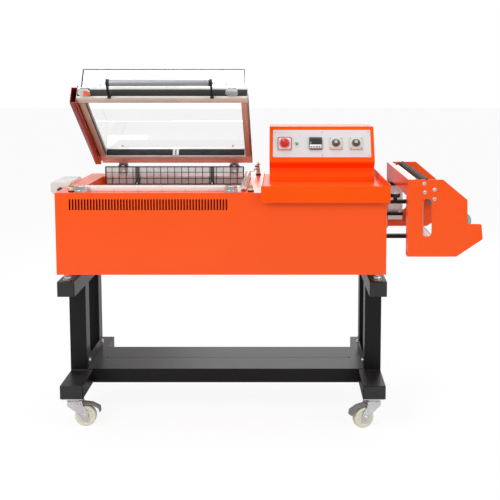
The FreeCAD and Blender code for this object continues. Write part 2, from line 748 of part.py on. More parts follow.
def make_transformer():
    """Impulse transformer: a laminated core with two windings, on two foot angles."""
    x, y, low = "body_right - 190", "40", "body_low + metal"
    core = block("core", [f"{x} - 60", f"{x} + 60"], [f"{y} - 25", f"{y} + 25"],
                 [f"{low} + 3", f"{low} + 103"])
    windings = [block(f"winding_{n}", [f"{x} {side} 28 - 22", f"{x} {side} 28 + 22"],
                      [f"{y} - 42", f"{y} + 42"], [f"{low} + 22", f"{low} + 84"])
                for n, side in enumerate("-+")]
    feet = [block(f"core_foot_{n}", [f"{x} - 70", f"{x} + 70"],
                  [f"{y} + {side * 25}" if side > 0 else f"{y} - 40",
                   f"{y} + 40" if side > 0 else f"{y} - 25"], [low, f"{low} + 3"])
            for n, side in enumerate((1, -1))]
    seat = block("core_seat", [f"{x} - 60", f"{x} + 60"], [f"{y} - 25", f"{y} + 25"],
                 [low, f"{low} + 3"])
    return subpart("transformer", fuse("transformer", [core, *windings, *feet, seat]))


make_transformer()


# ---- sealing jaws

def make_front_jaw():
    """Front jaw: a stepped bar on three spacers, with a raised strip under the wire."""
    y, low, top = "jaw_front", "jaw_low", "jaw_top"
    section = [(y, low), (f"{y} + jaw_width", low), (f"{y} + jaw_width", f"{top} - 4"),
               (f"{y} + 27", f"{top} - 4"), (f"{y} + 27", top), (f"{y} + 13", top),
               (f"{y} + 13", f"{top} - 3"), (y, f"{top} - 3")]
    end = "side_jaw - side_jaw_width / 2 - 1"
    bar = polygon_body("front_jaw_bar", "YZ_Plane", section, f"({end}) - jaw_left")
    place(bar, "jaw_left")
    spacers = [hexagon(f"jaw_spacer_{n}", 14, [x, f"{y} + jaw_width / 2", "body_high"],
                       "jaw_low - body_high")
               for n, x in enumerate(["jaw_left + 45", "(jaw_left + side_jaw) / 2", "side_jaw - 60"])]
    return subpart("front_jaw", fuse("front_jaw", [bar, *spacers]))


make_front_jaw()


def make_side_jaw():
    """Jaw that runs away from the operator along the right edge of the chamber."""
    x, low, top = "side_jaw", "jaw_low", "jaw_top"
    half = "side_jaw_width / 2"
    section = [(f"{x} - {half}", low), (f"{x} + {half}", low), (f"{x} + {half}", f"{top} - 3"),
               (f"{x} + 6", f"{top} - 3"), (f"{x} + 6", top), (f"{x} - 6", top),
               (f"{x} - 6", f"{top} - 3"), (f"{x} - {half}", f"{top} - 3")]
    bar = polygon_body("side_jaw_bar", "XZ_Plane", section, "side_jaw_back - jaw_front")
    place(bar, 0, "side_jaw_back", 0)
    spacers = [hexagon(f"side_jaw_spacer_{n}", 7, ["side_jaw + 5", y, "body_high"],
                       "jaw_low - body_high")
               for n, y in enumerate(["jaw_front + 30", "-10", "side_jaw_back - 30"])]
    return subpart("right_jaw", fuse("right_jaw", [bar, *spacers]))


make_side_jaw()


def make_wire():
    """Flat sealing wire along both jaws, crossing at their corner."""
    top = ["jaw_top", "jaw_top + 0.3"]
    y = "jaw_front + 20"
    along = block("front_wire", ["jaw_left + 4", "side_jaw + 4"], [f"{y} - 1", f"{y} + 1"], top)
    away = block("side_wire", ["side_jaw - 1", "side_jaw + 1"],
                 [f"{y} - 6", "side_jaw_back - 4"], top)
    return subpart("seal_wire", fuse("seal_wire", [along, away]))


make_wire()


def make_magnets():
    """Two round holding magnets that keep the hood shut while it seals and shrinks."""
    solids = []
    for n, x in enumerate(["magnet_left", "magnet_right"]):
        solids.append(rod(f"magnet_{n}", "magnet_radius", "z", [x, "magnet_depth", "body_high"],
                          "magnet_top - body_high"))
    return subpart("electromagnets", group("electromagnets", solids))


make_magnets()


def make_terminals():
    """Insulated posts that clamp the two free ends of the sealing wire and feed its corner."""
    posts = []
    spots = [("jaw_left - 38", "jaw_front - 16", 26), ("side_jaw + 38", "side_jaw_back + 35", 48),
             ("side_jaw + 26", "jaw_front - 12", 22)]
    for n, (x, y, tall) in enumerate(spots):
        base = hexagon(f"post_{n}_base", 20, [x, y, "body_high"], 8)
        post = prism(f"post_{n}_insulator", 12, 7, [x, y, "body_high + 8"], tall - 16)
        stud = prism(f"post_{n}_stud", 8, 3, [x, y, f"body_high + {tall - 8}"], 10)
        nut = prism(f"post_{n}_thumb_nut", 12, 8, [x, y, f"body_high + {tall - 8}"], 6)
        posts.append(fuse(f"post_{n}", [base, post, stud, nut]))
    return subpart("wire_terminals", group("wire_terminals", posts))


make_terminals()


# ---- hood, drawn shut round its hinge axis and then swung open

def on_hood(solid):
    """Swing a solid, drawn with the hinge axis as its X axis, to the open hood."""
    solid.Placement = FreeCAD.Placement(FreeCAD.Vector(), FreeCAD.Rotation(
        FreeCAD.Vector(1, 0, 0), -number("hood_open")))
    bind(solid, "Placement.Rotation.Angle", "-hood_open")
    bind(solid, "Placement.Base.y", "hinge_depth")
    bind(solid, "Placement.Base.z", "hinge_level")
    return solid


seal = "seal_plane - hinge_level"


def ledge_section(inner, outer):
    """Rail section from its inner to its outer side, with a ledge that the dome sits on."""
    step = f"{outer} - ({outer} - ({inner})) / abs({outer} - ({inner})) * 8"
    low = f"{seal} + pad_thick"
    return [(inner, low), (outer, low), (outer, f"{seal} + rail_high"), (step, f"{seal} + rail_high"),
            (step, f"{seal} + rail_ledge"), (inner, f"{seal} + rail_ledge")]


def make_front_rail():
    """Front rail of the hood with a shallow channel along its face for the bumper strip."""
    inner, outer = "-opening_front", "-opening_front - rail_depth"
    low, high = f"{seal} + pad_thick", f"{seal} + rail_high"
    section = [(inner, low), (outer, low), (outer, f"{seal} + 10"), (f"{outer} + 2", f"{seal} + 10"),
               (f"{outer} + 2", f"{seal} + 38"), (outer, f"{seal} + 38"), (outer, high),
               (f"{outer} + 8", high), (f"{outer} + 8", f"{seal} + rail_ledge"),
               (inner, f"{seal} + rail_ledge")]
    body = polygon_body("front_rail", "YZ_Plane", section, "hood_right - hood_left")
    place(body, "hood_left")
    return subpart("hood_front_rail", on_hood(group("hood_front_rail", [body])))


def make_rear_rail():
    """Rear rail of the hood, wider than the others and ledged for the dome's back edge."""
    section = ledge_section("-opening_back", "-opening_back + rear_rail")
    body = polygon_body("rear_rail", "YZ_Plane", section, "hood_right - hood_left")
    place(body, "hood_left")
    return subpart("hood_rear_rail", on_hood(group("hood_rear_rail", [body])))


def side_rail_body(name, section):
    """Body padded from a section in the XZ plane between the front and the rear rail."""
    body = polygon_body(name, "XZ_Plane", section, "opening_front - opening_back")
    return place(body, 0, "-opening_back", 0)


def make_right_rail():
    body = side_rail_body("right_rail", ledge_section("opening_right", "hood_right"))
    return subpart("hood_right_rail", on_hood(group("hood_right_rail", [body])))


def make_left_rail():
    """Left rail with a painted box channel outside it that stays open at its front end."""
    rail = side_rail_body("left_rail", ledge_section("opening_left", "hood_left"))
    low, high = f"{seal} - 15", f"{seal} + rail_high"
    outline = [("channel_left", low), ("hood_left", low), ("hood_left", high),
               ("channel_left", high)]
    inside = [("channel_left + metal", f"{low} + metal"), ("hood_left - metal", f"{low} + metal"),
              ("hood_left - metal", f"{high} - metal"), ("channel_left + metal", f"{high} - metal")]
    channel = polygon_body("left_channel", "XZ_Plane", outline, "opening_front - opening_back + 70",
                           [inside])
    place(channel, 0, "-opening_back + 38", 0)
    return subpart("hood_left_rail", on_hood(fuse("hood_left_rail", [rail, channel])))


make_front_rail()
make_rear_rail()
make_right_rail()
make_left_rail()


def make_pads():
    """Silicone pads under the front, left, right and rear rails."""
    thick = [seal, f"{seal} + pad_thick"]
    front_run = ["-opening_front - rail_depth", "-opening_front"]
    side_run = ["-opening_front", "-opening_back"]
    solids = [
        block("front_pad", ["hood_left", "hood_right"], front_run, thick),
        block("left_pad", ["hood_left + 2", "opening_left"], side_run, thick),
        block("right_pad", ["opening_right", "hood_right - 4"], side_run, thick),
        block("rear_pad", ["hood_left", "hood_right"], ["-opening_back", "-opening_back + 40"],
              thick),
    ]
    return subpart("seal_pads", on_hood(group("seal_pads", solids)))


make_pads()


def make_dome():
    """Clear acrylic dome: a folded sheet with flat ends, open underneath."""
    low = f"{seal} + rail_ledge"
    profile = [("-opening_back - 441 + 2", low), ("-opening_back - 441 + 2", f"{seal} + 128"),
               ("-opening_back - 292", f"{seal} + 170"), ("-opening_back + 10", f"{seal} + 168"),
               ("-opening_back + 35", f"{seal} + 115"), ("-opening_back + rear_rail - 9", low)]
    body = polygon_body("dome_sheet", "YZ_Plane", profile, "dome_right - dome_left")
    base = number(low)
    shell(body, lambda face: face.BoundBox.ZMax < base + 1e-6, "dome_wall", "dome_hollow")
    dress(body, "Fillet", lambda edge: runs_along(edge, "x") and edge.BoundBox.ZMin > base + 60,
          3, "dome_folds")
    place(body, "dome_left")
    return subpart("dome", on_hood(group("dome", [body])))


make_dome()


def make_handle():
    """Round grip between two bent arms that are bolted to the front rail."""
    face = "-opening_front - rail_depth"
    grip_y, grip_z = "-opening_back - 505", f"{seal} + 30"
    solids = [rod("grip", "grip_radius", "x", ["grip_left + 6", grip_y, grip_z],
                  "grip_right - grip_left - 12")]
    outline = [(face, f"{seal} - 1"), (face, f"{seal} + 9"), (f"{face} - 14", f"{seal} + 9"),
               (f"{grip_y} + 14", f"{grip_z} + 9"), (f"{grip_y}", f"{grip_z} + 14"),
               (f"{grip_y} - 14", f"{grip_z} + 7"), (f"{grip_y} - 14", f"{grip_z} - 7"),
               (f"{grip_y}", f"{grip_z} - 14"), (f"{face} - 18", f"{seal} - 1")]
    for n, x in enumerate(["grip_left", "grip_right - 6"]):
        arm = polygon_body(f"handle_arm_{n}", "YZ_Plane", outline, 6)
        solids.append(place(arm, x))
        solids.append(block(f"handle_foot_{n}", [f"{x} - 8", f"{x} + 14"],
                            [f"{face} - 4", face], [f"{seal} - 1", f"{seal} + 26"]))
    return subpart("handle", on_hood(fuse("handle", solids)))


make_handle()


def make_discs():
    """Armature discs on rubber washers under two angle brackets on the front rail."""
    face = "-opening_front - rail_depth"
    depth = "magnet_depth - hinge_depth"
    low = f"{seal} + 6"
    solids = []
    for n, x in enumerate(["magnet_left", "magnet_right"]):
        disc = rod(f"disc_{n}", "disc_radius", "z", [x, depth, low], "disc_thick")
        washer = rod(f"disc_{n}_washer", "disc_radius - 6", "z",
                     [x, depth, f"{low} + disc_thick"], 4)
        shelf = block(f"disc_bracket_{n}", [f"{x} - 14", f"{x} + 14"], [f"{depth} - 14", face],
                      [f"{low} + disc_thick + 4", f"{low} + disc_thick + 7"])
        flange = block(f"disc_flange_{n}", [f"{x} - 14", f"{x} + 14"], [f"{face} - 3", face],
                       [f"{low} + disc_thick + 7", f"{seal} + 44"])
        bolt = hexagon(f"disc_bolt_{n}", 13, [x, depth, f"{low} + disc_thick + 7"], 6)
        solids.append(fuse(f"armature_{n}", [disc, washer, shelf, flange, bolt]))
    return subpart("armature_discs", on_hood(group("armature_discs", solids)))


make_discs()


def make_hinge_leaves():
    """Two leaves behind the rear rail, each with a bored eye on the hinge axis."""
    solids = []
    rail_back = "-opening_back + rear_rail"
    for n, x in enumerate(["hinge_left", "hinge_right"]):
        eye = rod(f"leaf_{n}_eye", "leaf_radius", "x", [f"{x} - leaf_thick / 2", 0, 0], "leaf_thick")
        arm = block(f"leaf_{n}_arm", [f"{x} - leaf_thick / 2", f"{x} + leaf_thick / 2"],
                    [rail_back, "0"], [f"{seal} + 7", f"{seal} + 22"])
        plate = block(f"leaf_{n}_plate", [f"{x} - 20", f"{x} + 20"], [rail_back, f"{rail_back} + 4"],
                      [f"{seal} + 7", f"{seal} + 44"])
        bore = rod(f"leaf_{n}_bore", "pin_radius + bearing_play", "x",
                   [f"{x} - leaf_thick / 2", 0, 0], "leaf_thick")
        solids.append(cut(f"leaf_{n}", fuse(f"leaf_{n}_solid", [eye, arm, plate]), [bore]))
    return subpart("hinge_leaves", on_hood(group("hinge_leaves", solids)))


make_hinge_leaves()


def make_hinge_blocks():
    """Two forked blocks on the body top that hold the hinge pins."""
    solids = []
    high = "hinge_level"
    for n, x in enumerate(["hinge_left", "hinge_right"]):
        cheeks = []
        outline = [("-15", "body_high"), ("15", "body_high"), ("15", f"{high} + 6"),
                   ("8", f"{high} + 13"), ("-8", f"{high} + 13"), ("-15", f"{high} + 6")]
        for side in "-", "+":
            start = f"{x} + leaf_thick / 2 + 0.5" if side == "+" else f"{x} - leaf_thick / 2 - 10.5"
            cheek = polygon_body(f"hinge_{n}_cheek{side}", "YZ_Plane", outline, 10)
            cheeks.append(place(cheek, start, "hinge_depth"))
        foot = block(f"hinge_{n}_foot", [f"{x} - leaf_thick / 2 - 10.5", f"{x} + leaf_thick / 2 + 10.5"],
                     ["hinge_depth - 30", "hinge_depth + 15"], ["body_high", "body_high + 6"])
        pin_solid = rod(f"hinge_{n}_pin", "pin_radius", "x",
                        [f"{x} - leaf_thick / 2 - 12", "hinge_depth", high], "leaf_thick + 24")
        solids.append(fuse(f"hinge_{n}", [*cheeks, foot, pin_solid]))
    return subpart("hinge_blocks", group("hinge_blocks", solids))


make_hinge_blocks()


# ---- control box

def on_panel(solid, x=0, out=0, up=0, rotation=None):
    """Seat a solid on the leaning face: its X stays, its Z runs up the face."""
    lean = math.degrees(math.atan2(number("face_back - face_depth"), number("face_high - face_low")))
    tilt = FreeCAD.Rotation(FreeCAD.Vector(1, 0, 0), -lean)
    turn = tilt if rotation is None else tilt * rotation
    solid.Placement = FreeCAD.Placement(FreeCAD.Vector(), turn)
    slope = "sqrt((face_back - face_depth)^2 + (face_high - face_low)^2)"
    sine, cosine = f"(face_back - face_depth) / {slope}", f"(face_high - face_low) / {slope}"
    bind(solid, "Placement.Base.x", x)
    bind(solid, "Placement.Base.y", f"face_depth + ({up}) * {sine} - ({out}) * {cosine}")
    bind(solid, "Placement.Base.z", f"face_low + ({up}) * {cosine} + ({out}) * {sine}")
    return solid


def make_control_box():
    """Sheet housing with a leaning face over a stepped pedestal, open underneath."""
    floor_top = "body_high + metal"
    profile = [("face_depth", "face_low"), ("face_back", "face_high"), ("box_back", "face_high"),
               ("box_back", floor_top), ("face_depth + 10", floor_top),
               ("face_depth + 10", f"{floor_top} + 19"), ("face_depth + 26", f"{floor_top} + 33"),
               ("face_depth + 26", "face_low - 28"), ("face_depth", "face_low - 6")]
    body = polygon_body("control_box", "YZ_Plane", profile, "box_right - box_left")
    bottom = number(floor_top)
    shell(body, lambda face: face.BoundBox.ZMax < bottom + 1e-6, "metal", "box_hollow")
    return subpart("control_box", place(body, "box_left"))


make_control_box()


def flat_body(name, width, tall, thick):
    """Rectangular plate drawn in the plane of the leaning face, centred on its origin."""
    return polygon_body(name, "XZ_Plane", [
        (f"-({width}) / 2", f"-({tall}) / 2"), (f"({width}) / 2", f"-({tall}) / 2"),
        (f"({width}) / 2", f"({tall}) / 2"), (f"-({width}) / 2", f"({tall}) / 2")], thick)


slope_length = "sqrt((face_back - face_depth)^2 + (face_high - face_low)^2)"
box_middle = "(box_left + box_right) / 2"


def make_panel_plate():
    """Bright front plate held by six screws, drilled for the instruments' necks."""
    body = flat_body("panel_plate", "box_right - box_left - 2 * panel_gap",
                     f"{slope_length} - 2 * panel_gap - 4", "panel_thick")
    dress(body, "Fillet", lambda edge: runs_along(edge, "y"), 4, "plate_corners")
    return subpart("panel_plate", on_panel(body, box_middle, 0, f"{slope_length} / 2"))


make_panel_plate()


def make_main_switch():
    """Main switch knob with a raised grip bar, on a spindle that runs in its escutcheon."""
    spindle = rod("switch_spindle", "spindle_radius", "y", [0, "-0.4", 0], 5.4)
    skirt = prism("switch_skirt", 24, 18, [0, -9, 0], 8.6, "y")
    bar = block("switch_bar", ["-4.5", "4.5"], ["-20", "-9"], ["-16", "16"])
    solid = fuse("main_switch_knob", [spindle, skirt, bar])
    return subpart("main_switch_knob", on_panel(solid, "switch_along", "panel_thick + 6",
                                                "instrument_level"))


make_main_switch()


def make_lamp():
    """Pilot lamp: a bezel ring under a fluted lens."""
    bezel = prism("lamp_bezel", 24, 7.5, [0, -2, 0], 2, "y")
    lens = prism("lamp_lens", 16, 6, [0, -8.5, 0], 6.5, "y")
    return subpart("power_lamp", on_panel(fuse("power_lamp", [bezel, lens]), "lamp_along",
                                          "panel_thick", "instrument_level"))


make_lamp()


def make_controller():
    """Square temperature controller: a frame round a set-back window and a key strip."""
    half = "instrument_size / 2"
    body = flat_body("temperature_controller", "instrument_size", "instrument_size", 8)
    window = new_sketch(body, "XZ_Plane", "controller_window")
    add_loop(window, [(f"-{half} + 4", "-6"), (f"{half} - 4", "-6"),
                      (f"{half} - 4", f"{half} - 4"), (f"-{half} + 4", f"{half} - 4")])
    window.AttachmentOffset = FreeCAD.Placement(FreeCAD.Vector(0, 0, 8), FreeCAD.Rotation())
    doc.recompute()
    pocket(body, window, 2)
    return subpart("temperature_controller", on_panel(body, "controller_along", "panel_thick",
                                                      "instrument_level"))


make_controller()


def make_housings():
    """Square front frames: two timers and the escutcheon of the main switch."""
    solids = []
    for name, x, size, thick in (("switch", "switch_along", "instrument_size + 8", 6),
                                 ("timer_one", "timer_one", "instrument_size", 7),
                                 ("timer_two", "timer_two", "instrument_size", 7)):
        body = flat_body(f"{name}_frame", size, size, thick)
        dress(body, "Chamfer", lambda edge: runs_along(edge, "y"), 2, f"{name}_corners")
        hole = new_sketch(body, "XZ_Plane", f"{name}_spindle_hole")
        add_circle(hole, "spindle_radius + bearing_play", 0, 0)
        doc.recompute()
        pocket(body, hole, thick, flipped=True)
        solids.append(on_panel(body, x, "panel_thick", "instrument_level"))
    return subpart("timer_housings", group("timer_housings", solids))


make_housings()


def make_timer_knob(label, along):
    """Dial knob with a raised pointer bar, on a spindle that runs in the timer."""
    spindle = rod(f"{label}_spindle", "spindle_radius", "y", [0, "-0.4", 0], 6.4)
    dial = prism(f"{label}_dial", 24, "timer_dial", [0, -6, 0], 5.6, "y")
    boss = prism(f"{label}_boss", 12, 8.5, [0, -12, 0], 6, "y")
    pointer = block(f"{label}_pointer", ["-1.5", "1.5"], ["-13", "-6"], ["0", "12.5"])
    solid = fuse(label, [spindle, dial, boss, pointer])
    return subpart(label, on_panel(solid, along, "panel_thick + 7", "instrument_level"))


make_timer_knob("left_timer_knob", "timer_one")
make_timer_knob("right_timer_knob", "timer_two")


# ---- film unit

def unit_plate(name):
    """Side plate outline with its obround shaft slot and four screw holes, as a body."""
    x, z = "unit_left", "unit_high"
    outline = [(x, z), (f"{x} + 117", z), (f"{x} + 200", f"{z} - 69"), (f"{x} + 202", f"{z} - 151"),
               (f"{x} + 249", f"{z} - 151"), (f"{x} + 254", f"{z} - 203"),
               (f"{x} + 166", "unit_low"), (x, "unit_low")]
    body = polygon_body(name, "XZ_Plane", outline, "unit_metal")
    slot = new_sketch(body, "XZ_Plane", f"{name}_slot")
    add_slot(slot, 15.5, (f"{x} + 65", f"{z} - 179.5"), (f"{x} + 65", f"{z} - 79.5"))
    for drop, radius, along in (("roller_drop", "roller_shaft + bearing_play", "roller_outer"),
                                ("idler_drop", "roller_shaft + bearing_play", "roller_inner")):
        add_circle(slot, radius, f"{x} + {along}", f"{z} - {drop}")
    doc.recompute()
    pocket(body, slot, "unit_metal", flipped=True)
    dress(body, "Fillet", lambda edge: runs_along(edge, "y") and edge.BoundBox.XMin
          > number("unit_left") + 100, 7, f"{name}_corners")
    return body


def make_near_plate():
    """Near side plate with a return flange folded in along its left edge."""
    plate = place(unit_plate("near_plate_sheet"), 0, "unit_front + unit_metal", 0)
    flange = block("near_plate_flange", ["unit_left", "unit_left + unit_metal"],
                   ["unit_front + unit_metal", "unit_front + 42"], ["unit_low", "unit_high - 60"])
    return subpart("near_side_plate", fuse("near_side_plate", [plate, flange]))


def make_far_plate():
    plate = place(unit_plate("far_plate_sheet"), 0, "unit_back", 0)
    flange = block("far_plate_flange", ["unit_left", "unit_left + unit_metal"],
                   ["unit_back - 42", "unit_back - unit_metal"], ["unit_low", "unit_high - 60"])
    return subpart("far_side_plate", fuse("far_side_plate", [plate, flange]))


def make_unit_panel():
    """Left cross panel of the film unit, folded over at the top and the bottom."""
    x, high = "unit_left", "unit_high"
    run = ["unit_front + unit_metal", "unit_back - unit_metal"]
    solids = [
        block("cross_panel", [x, f"{x} + metal"], run, [f"{high} - 60", high]),
        block("cross_top", [f"{x} + metal", f"{x} + 21"], run, [f"{high} - metal", high]),
        block("cross_low", [f"{x} + metal", f"{x} + 14"], run, [f"{high} - 60", f"{high} - 58"]),
    ]
    return subpart("film_unit_panel", fuse("film_unit_panel", solids))


make_near_plate()
make_far_plate()
make_unit_panel()


def make_roller(label, along, drop, radius):
    """Coated support roller on a shaft that runs through both side plates."""
    x, z = f"unit_left + {along}", f"unit_high - {drop}"
    start = "unit_front + unit_metal + 1"
    tube = rod(f"{label}_tube", radius, "y", [x, start, z],
               "unit_back - unit_front - 2 * unit_metal - 2")
    shaft = rod(f"{label}_shaft", "roller_shaft", "y", [x, "unit_front", z],
                "unit_back - unit_front")
    return subpart(label, fuse(label, [tube, shaft]))


make_roller("outer_roller", "roller_outer", "roller_drop", "roller_radius")
make_roller("inner_roller", "roller_inner", "idler_drop", "idler_radius")


def make_guide_rods():
    """Bright guide rod and a thicker black idler near the top of the film unit."""
    run = "unit_back - unit_front - 2 * unit_metal"
    start = "unit_front + unit_metal"
    slim = rod("guide_rod", 6, "y", ["unit_left + 36", start, "unit_high - 12"], run)
    thick = rod("guide_idler", 11, "y", ["unit_left + 62", start, "unit_high - 8"], run)
    return subpart("guide_rods", group("guide_rods", [slim, thick]))


make_guide_rods()


def make_unit_rails():
    """Four square rails, bolted to the body's right side, that carry the film unit."""
    solids = []
    for z in "body_low + 120", "body_low + 240":
        for y in "-262", "238":
            solids.append(block(f"rail_{len(solids)}", ["body_right", "unit_left + 60"],
                                [y, f"{y} + 24"], [z, f"{z} + 12"]))
    return subpart("unit_rails", group("unit_rails", solids))


make_unit_rails()


def make_unit_brackets():
    """Zinc-plated angle plates that tie the rails to the film unit's flanges."""
    solids = []
    for tag, y, edge in ("near", "-262", "-273"), ("far", "262", "273"):
        rail = [y, f"{y} + 24"] if tag == "near" else [f"{y} - 24", y]
        x = "unit_left + unit_metal"
        upright = block(f"{tag}_upright", [x, f"{x} + 2"],
                        [edge, rail[0]] if tag == "near" else [rail[1], edge],
                        ["body_low + 100", "body_low + 265"])
        web = block(f"{tag}_web", [x, f"{x} + 57.5"],
                    [f"{y} - 2", y] if tag == "near" else [y, f"{y} + 2"],
                    ["body_low + 100", "body_low + 265"])
        flange_run = ["-295", edge] if tag == "near" else [edge, "285"]
        tongue = block(f"{tag}_tongue", [x, f"{x} + 2"], flange_run,
                       ["body_low + 100", "body_low + 265"])
        solids.append(fuse(f"{tag}_bracket", [upright, web, tongue]))
    return subpart("unit_bracket", group("unit_bracket", solids))


make_unit_brackets()


def make_clamp_knob():
    """Six-lobed clamp knob whose neck locks the film unit on its near rail."""
    corners = [(17 if n % 3 else 13.5, math.radians(20 * n)) for n in range(18)]
    body = polygon_body("knob_grip", "XY_Plane", [
        (f"{radius * math.cos(turn):.4f}", f"{radius * math.sin(turn):.4f}")
        for radius, turn in corners], 14)
    x, y, z = "body_right + 34", "-250", "body_low + 252"
    place(body, x, y, f"{z} + 8.3")
    neck = rod("knob_neck", 7, "z", [x, y, f"{z} + 0.3"], 8)
    return subpart("clamp_knob", fuse("clamp_knob", [body, neck]))


make_clamp_knob()


# ---- check and write

doc.recompute()
for item in doc.Objects:
    if "Invalid" in item.State or "Error" in item.State:
        raise RuntimeError(f"{item.Name} failed: {item.State}")

labels = [solid.Label for solid in subparts]
if len(set(labels)) != len(labels) or len(labels) > 60:
    raise RuntimeError(f"{len(labels)} sub-parts, {len(set(labels))} different names")

os.makedirs("parts", exist_ok=True)
for solid in subparts:
    shape = solid.Shape
    if shape.isNull() or not shape.isValid() or not shape.Solids:
        raise RuntimeError(f"{solid.Label} has no valid solid")
    shape.exportStep(f"parts/{solid.Label}.step")
print(f"{len(subparts)} sub-parts written")
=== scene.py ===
import json
import math
import random

import bmesh
import bpy
from mathutils import Matrix, Vector


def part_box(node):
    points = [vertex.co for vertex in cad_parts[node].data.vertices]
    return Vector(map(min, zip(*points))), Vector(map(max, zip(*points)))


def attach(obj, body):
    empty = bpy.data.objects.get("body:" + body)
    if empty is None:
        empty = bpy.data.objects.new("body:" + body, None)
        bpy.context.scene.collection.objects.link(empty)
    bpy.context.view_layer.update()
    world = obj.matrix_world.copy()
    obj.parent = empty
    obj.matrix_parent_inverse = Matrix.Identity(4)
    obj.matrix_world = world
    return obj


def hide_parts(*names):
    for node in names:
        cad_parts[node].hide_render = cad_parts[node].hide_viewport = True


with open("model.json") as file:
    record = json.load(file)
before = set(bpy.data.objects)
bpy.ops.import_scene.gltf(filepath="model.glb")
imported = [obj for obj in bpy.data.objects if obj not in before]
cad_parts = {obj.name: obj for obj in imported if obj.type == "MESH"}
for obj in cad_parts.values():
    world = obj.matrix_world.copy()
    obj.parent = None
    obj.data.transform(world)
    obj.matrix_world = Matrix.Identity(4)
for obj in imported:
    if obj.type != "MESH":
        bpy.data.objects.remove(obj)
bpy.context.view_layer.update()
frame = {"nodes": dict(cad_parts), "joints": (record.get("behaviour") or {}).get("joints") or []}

nodes = frame["nodes"]
print("frame loaded:", len(nodes), "nodes")

# Lengths below are in millimetres; Shape.finish brings each mesh to metres.
millimetre = 0.001
axisVectors = {"x": Vector((1, 0, 0)), "y": Vector((0, 1, 0)), "z": Vector((0, 0, 1))}


def aimOf(axis):
    return axisVectors[axis].copy() if isinstance(axis, str) else Vector(axis)


def corners(node):
    low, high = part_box(node)
    return low / millimetre, high / millimetre


# ---- camera, lights and floor

cameraValues = {
    "place": (0.0811, -3.2894, 1.2394), "pitch": 6, "lens": 64.25, "shift": (-0.0645, -0.1632),
}


def makeCamera(values):
    data = bpy.data.cameras.new("viewCamera")
    data.lens = values["lens"]
    data.sensor_width = 36
    data.shift_x, data.shift_y = values["shift"]
    camera = bpy.data.objects.new("viewCamera", data)
    camera.location = values["place"]
    camera.rotation_euler = (math.radians(90 - values["pitch"]), 0, 0)
    bpy.context.scene.collection.objects.link(camera)
    bpy.context.scene.camera = camera
    bpy.context.scene.view_settings.view_transform = "Standard"


lampValues = {
    "keyLight": {"place": (-1.9, -2.6, 3.0), "aim": (-0.1, 0, 0.8), "size": 2.2, "watts": 70},
    "fillLight": {"place": (2.7, -2.2, 1.9), "aim": (0, 0, 0.7), "size": 2.0, "watts": 30},
    "topLight": {"place": (0.0, 0.5, 3.4), "aim": (0, 0, 0.9), "size": 2.6, "watts": 40},
    "backLight": {"place": (0.4, 3.2, 2.2), "aim": (0, 0, 0.8), "size": 2.4, "watts": 26},
}


def makeLamps(lamps):
    for name, values in lamps.items():
        data = bpy.data.lights.new(name, "AREA")
        data.shape = "SQUARE"
        data.size = values["size"]
        data.energy = values["watts"]
        lamp = bpy.data.objects.new(name, data)
        lamp.location = values["place"]
        aim = Vector(values["aim"]) - Vector(values["place"])
        lamp.rotation_euler = aim.to_track_quat("-Z", "Y").to_euler()
        bpy.context.scene.collection.objects.link(lamp)


# ---- shader maths

class Link:
    # one socket that takes part in arithmetic
    def __init__(self, graph, socket):
        self.graph = graph
        self.socket = socket

    def combine(self, operation, first, second):
        return self.graph.add("ShaderNodeMath", {"operation": operation}, [first, second])

    def __add__(self, other):
        return self.combine("ADD", self, other)

    def __radd__(self, other):
        return self.combine("ADD", other, self)

    def __sub__(self, other):
        return self.combine("SUBTRACT", self, other)

    def __rsub__(self, other):
        return self.combine("SUBTRACT", other, self)

    def __mul__(self, other):
        return self.combine("MULTIPLY", self, other)

    def __rmul__(self, other):
        return self.combine("MULTIPLY", other, self)

    def __truediv__(self, other):
        return self.combine("DIVIDE", self, other)

    def __pow__(self, other):
        return self.combine("POWER", self, other)


class Graph:
    def __init__(self, tree):
        self.tree = tree
        self.spot = None

    def add(self, kind, settings=None, sockets=(), output=0):
        node = self.tree.nodes.new(kind)
        for key, value in (settings or {}).items():
            if key == "stops":
                while len(node.color_ramp.elements) < len(value):
                    node.color_ramp.elements.new(1)
                for element, (at, colour) in zip(node.color_ramp.elements, value):
                    element.position = at
                    element.color = colour
            else:
                setattr(node, key, value)
        pairs = sockets.items() if isinstance(sockets, dict) else enumerate(sockets)
        for key, value in pairs:
            if isinstance(value, Link):
                self.tree.links.new(value.socket, node.inputs[key])
            else:
                node.inputs[key].default_value = value
        return Link(self, node.outputs[output])

    def place(self):
        if self.spot is None:
            self.spot = self.add("ShaderNodeTexCoord", output=3)
        return self.spot

    def noise(self, scale, detail=3, stretch=None):
        spot = self.place()
        if stretch:
            spot = self.add("ShaderNodeMapping", {}, {"Vector": spot, "Scale": stretch})
        return self.add("ShaderNodeTexNoise", {}, {"Vector": spot, "Scale": scale, "Detail": detail})

    def blend(self, factor, first, second, kind="MIX"):
        settings = {"data_type": "RGBA", "blend_type": kind}
        return self.add("ShaderNodeMix", settings, {0: factor, 6: first, 7: second}, output=2)

    def ramp(self, factor, low, high):
        # 0 below low and 1 above high
        settings = {"stops": [(low, (0, 0, 0, 1)), (high, (1, 1, 1, 1))]}
        return self.add("ShaderNodeValToRGB", settings, [factor])

    def parts(self, vector):
        split = self.tree.nodes.new("ShaderNodeSeparateXYZ")
        self.tree.links.new(vector.socket, split.inputs[0])
        return [Link(self, socket) for socket in split.outputs]


def opaque(colour):
    return (*colour, 1)


def shade(colour, amount):
    return opaque([min(1, max(0, value * amount)) for value in colour])


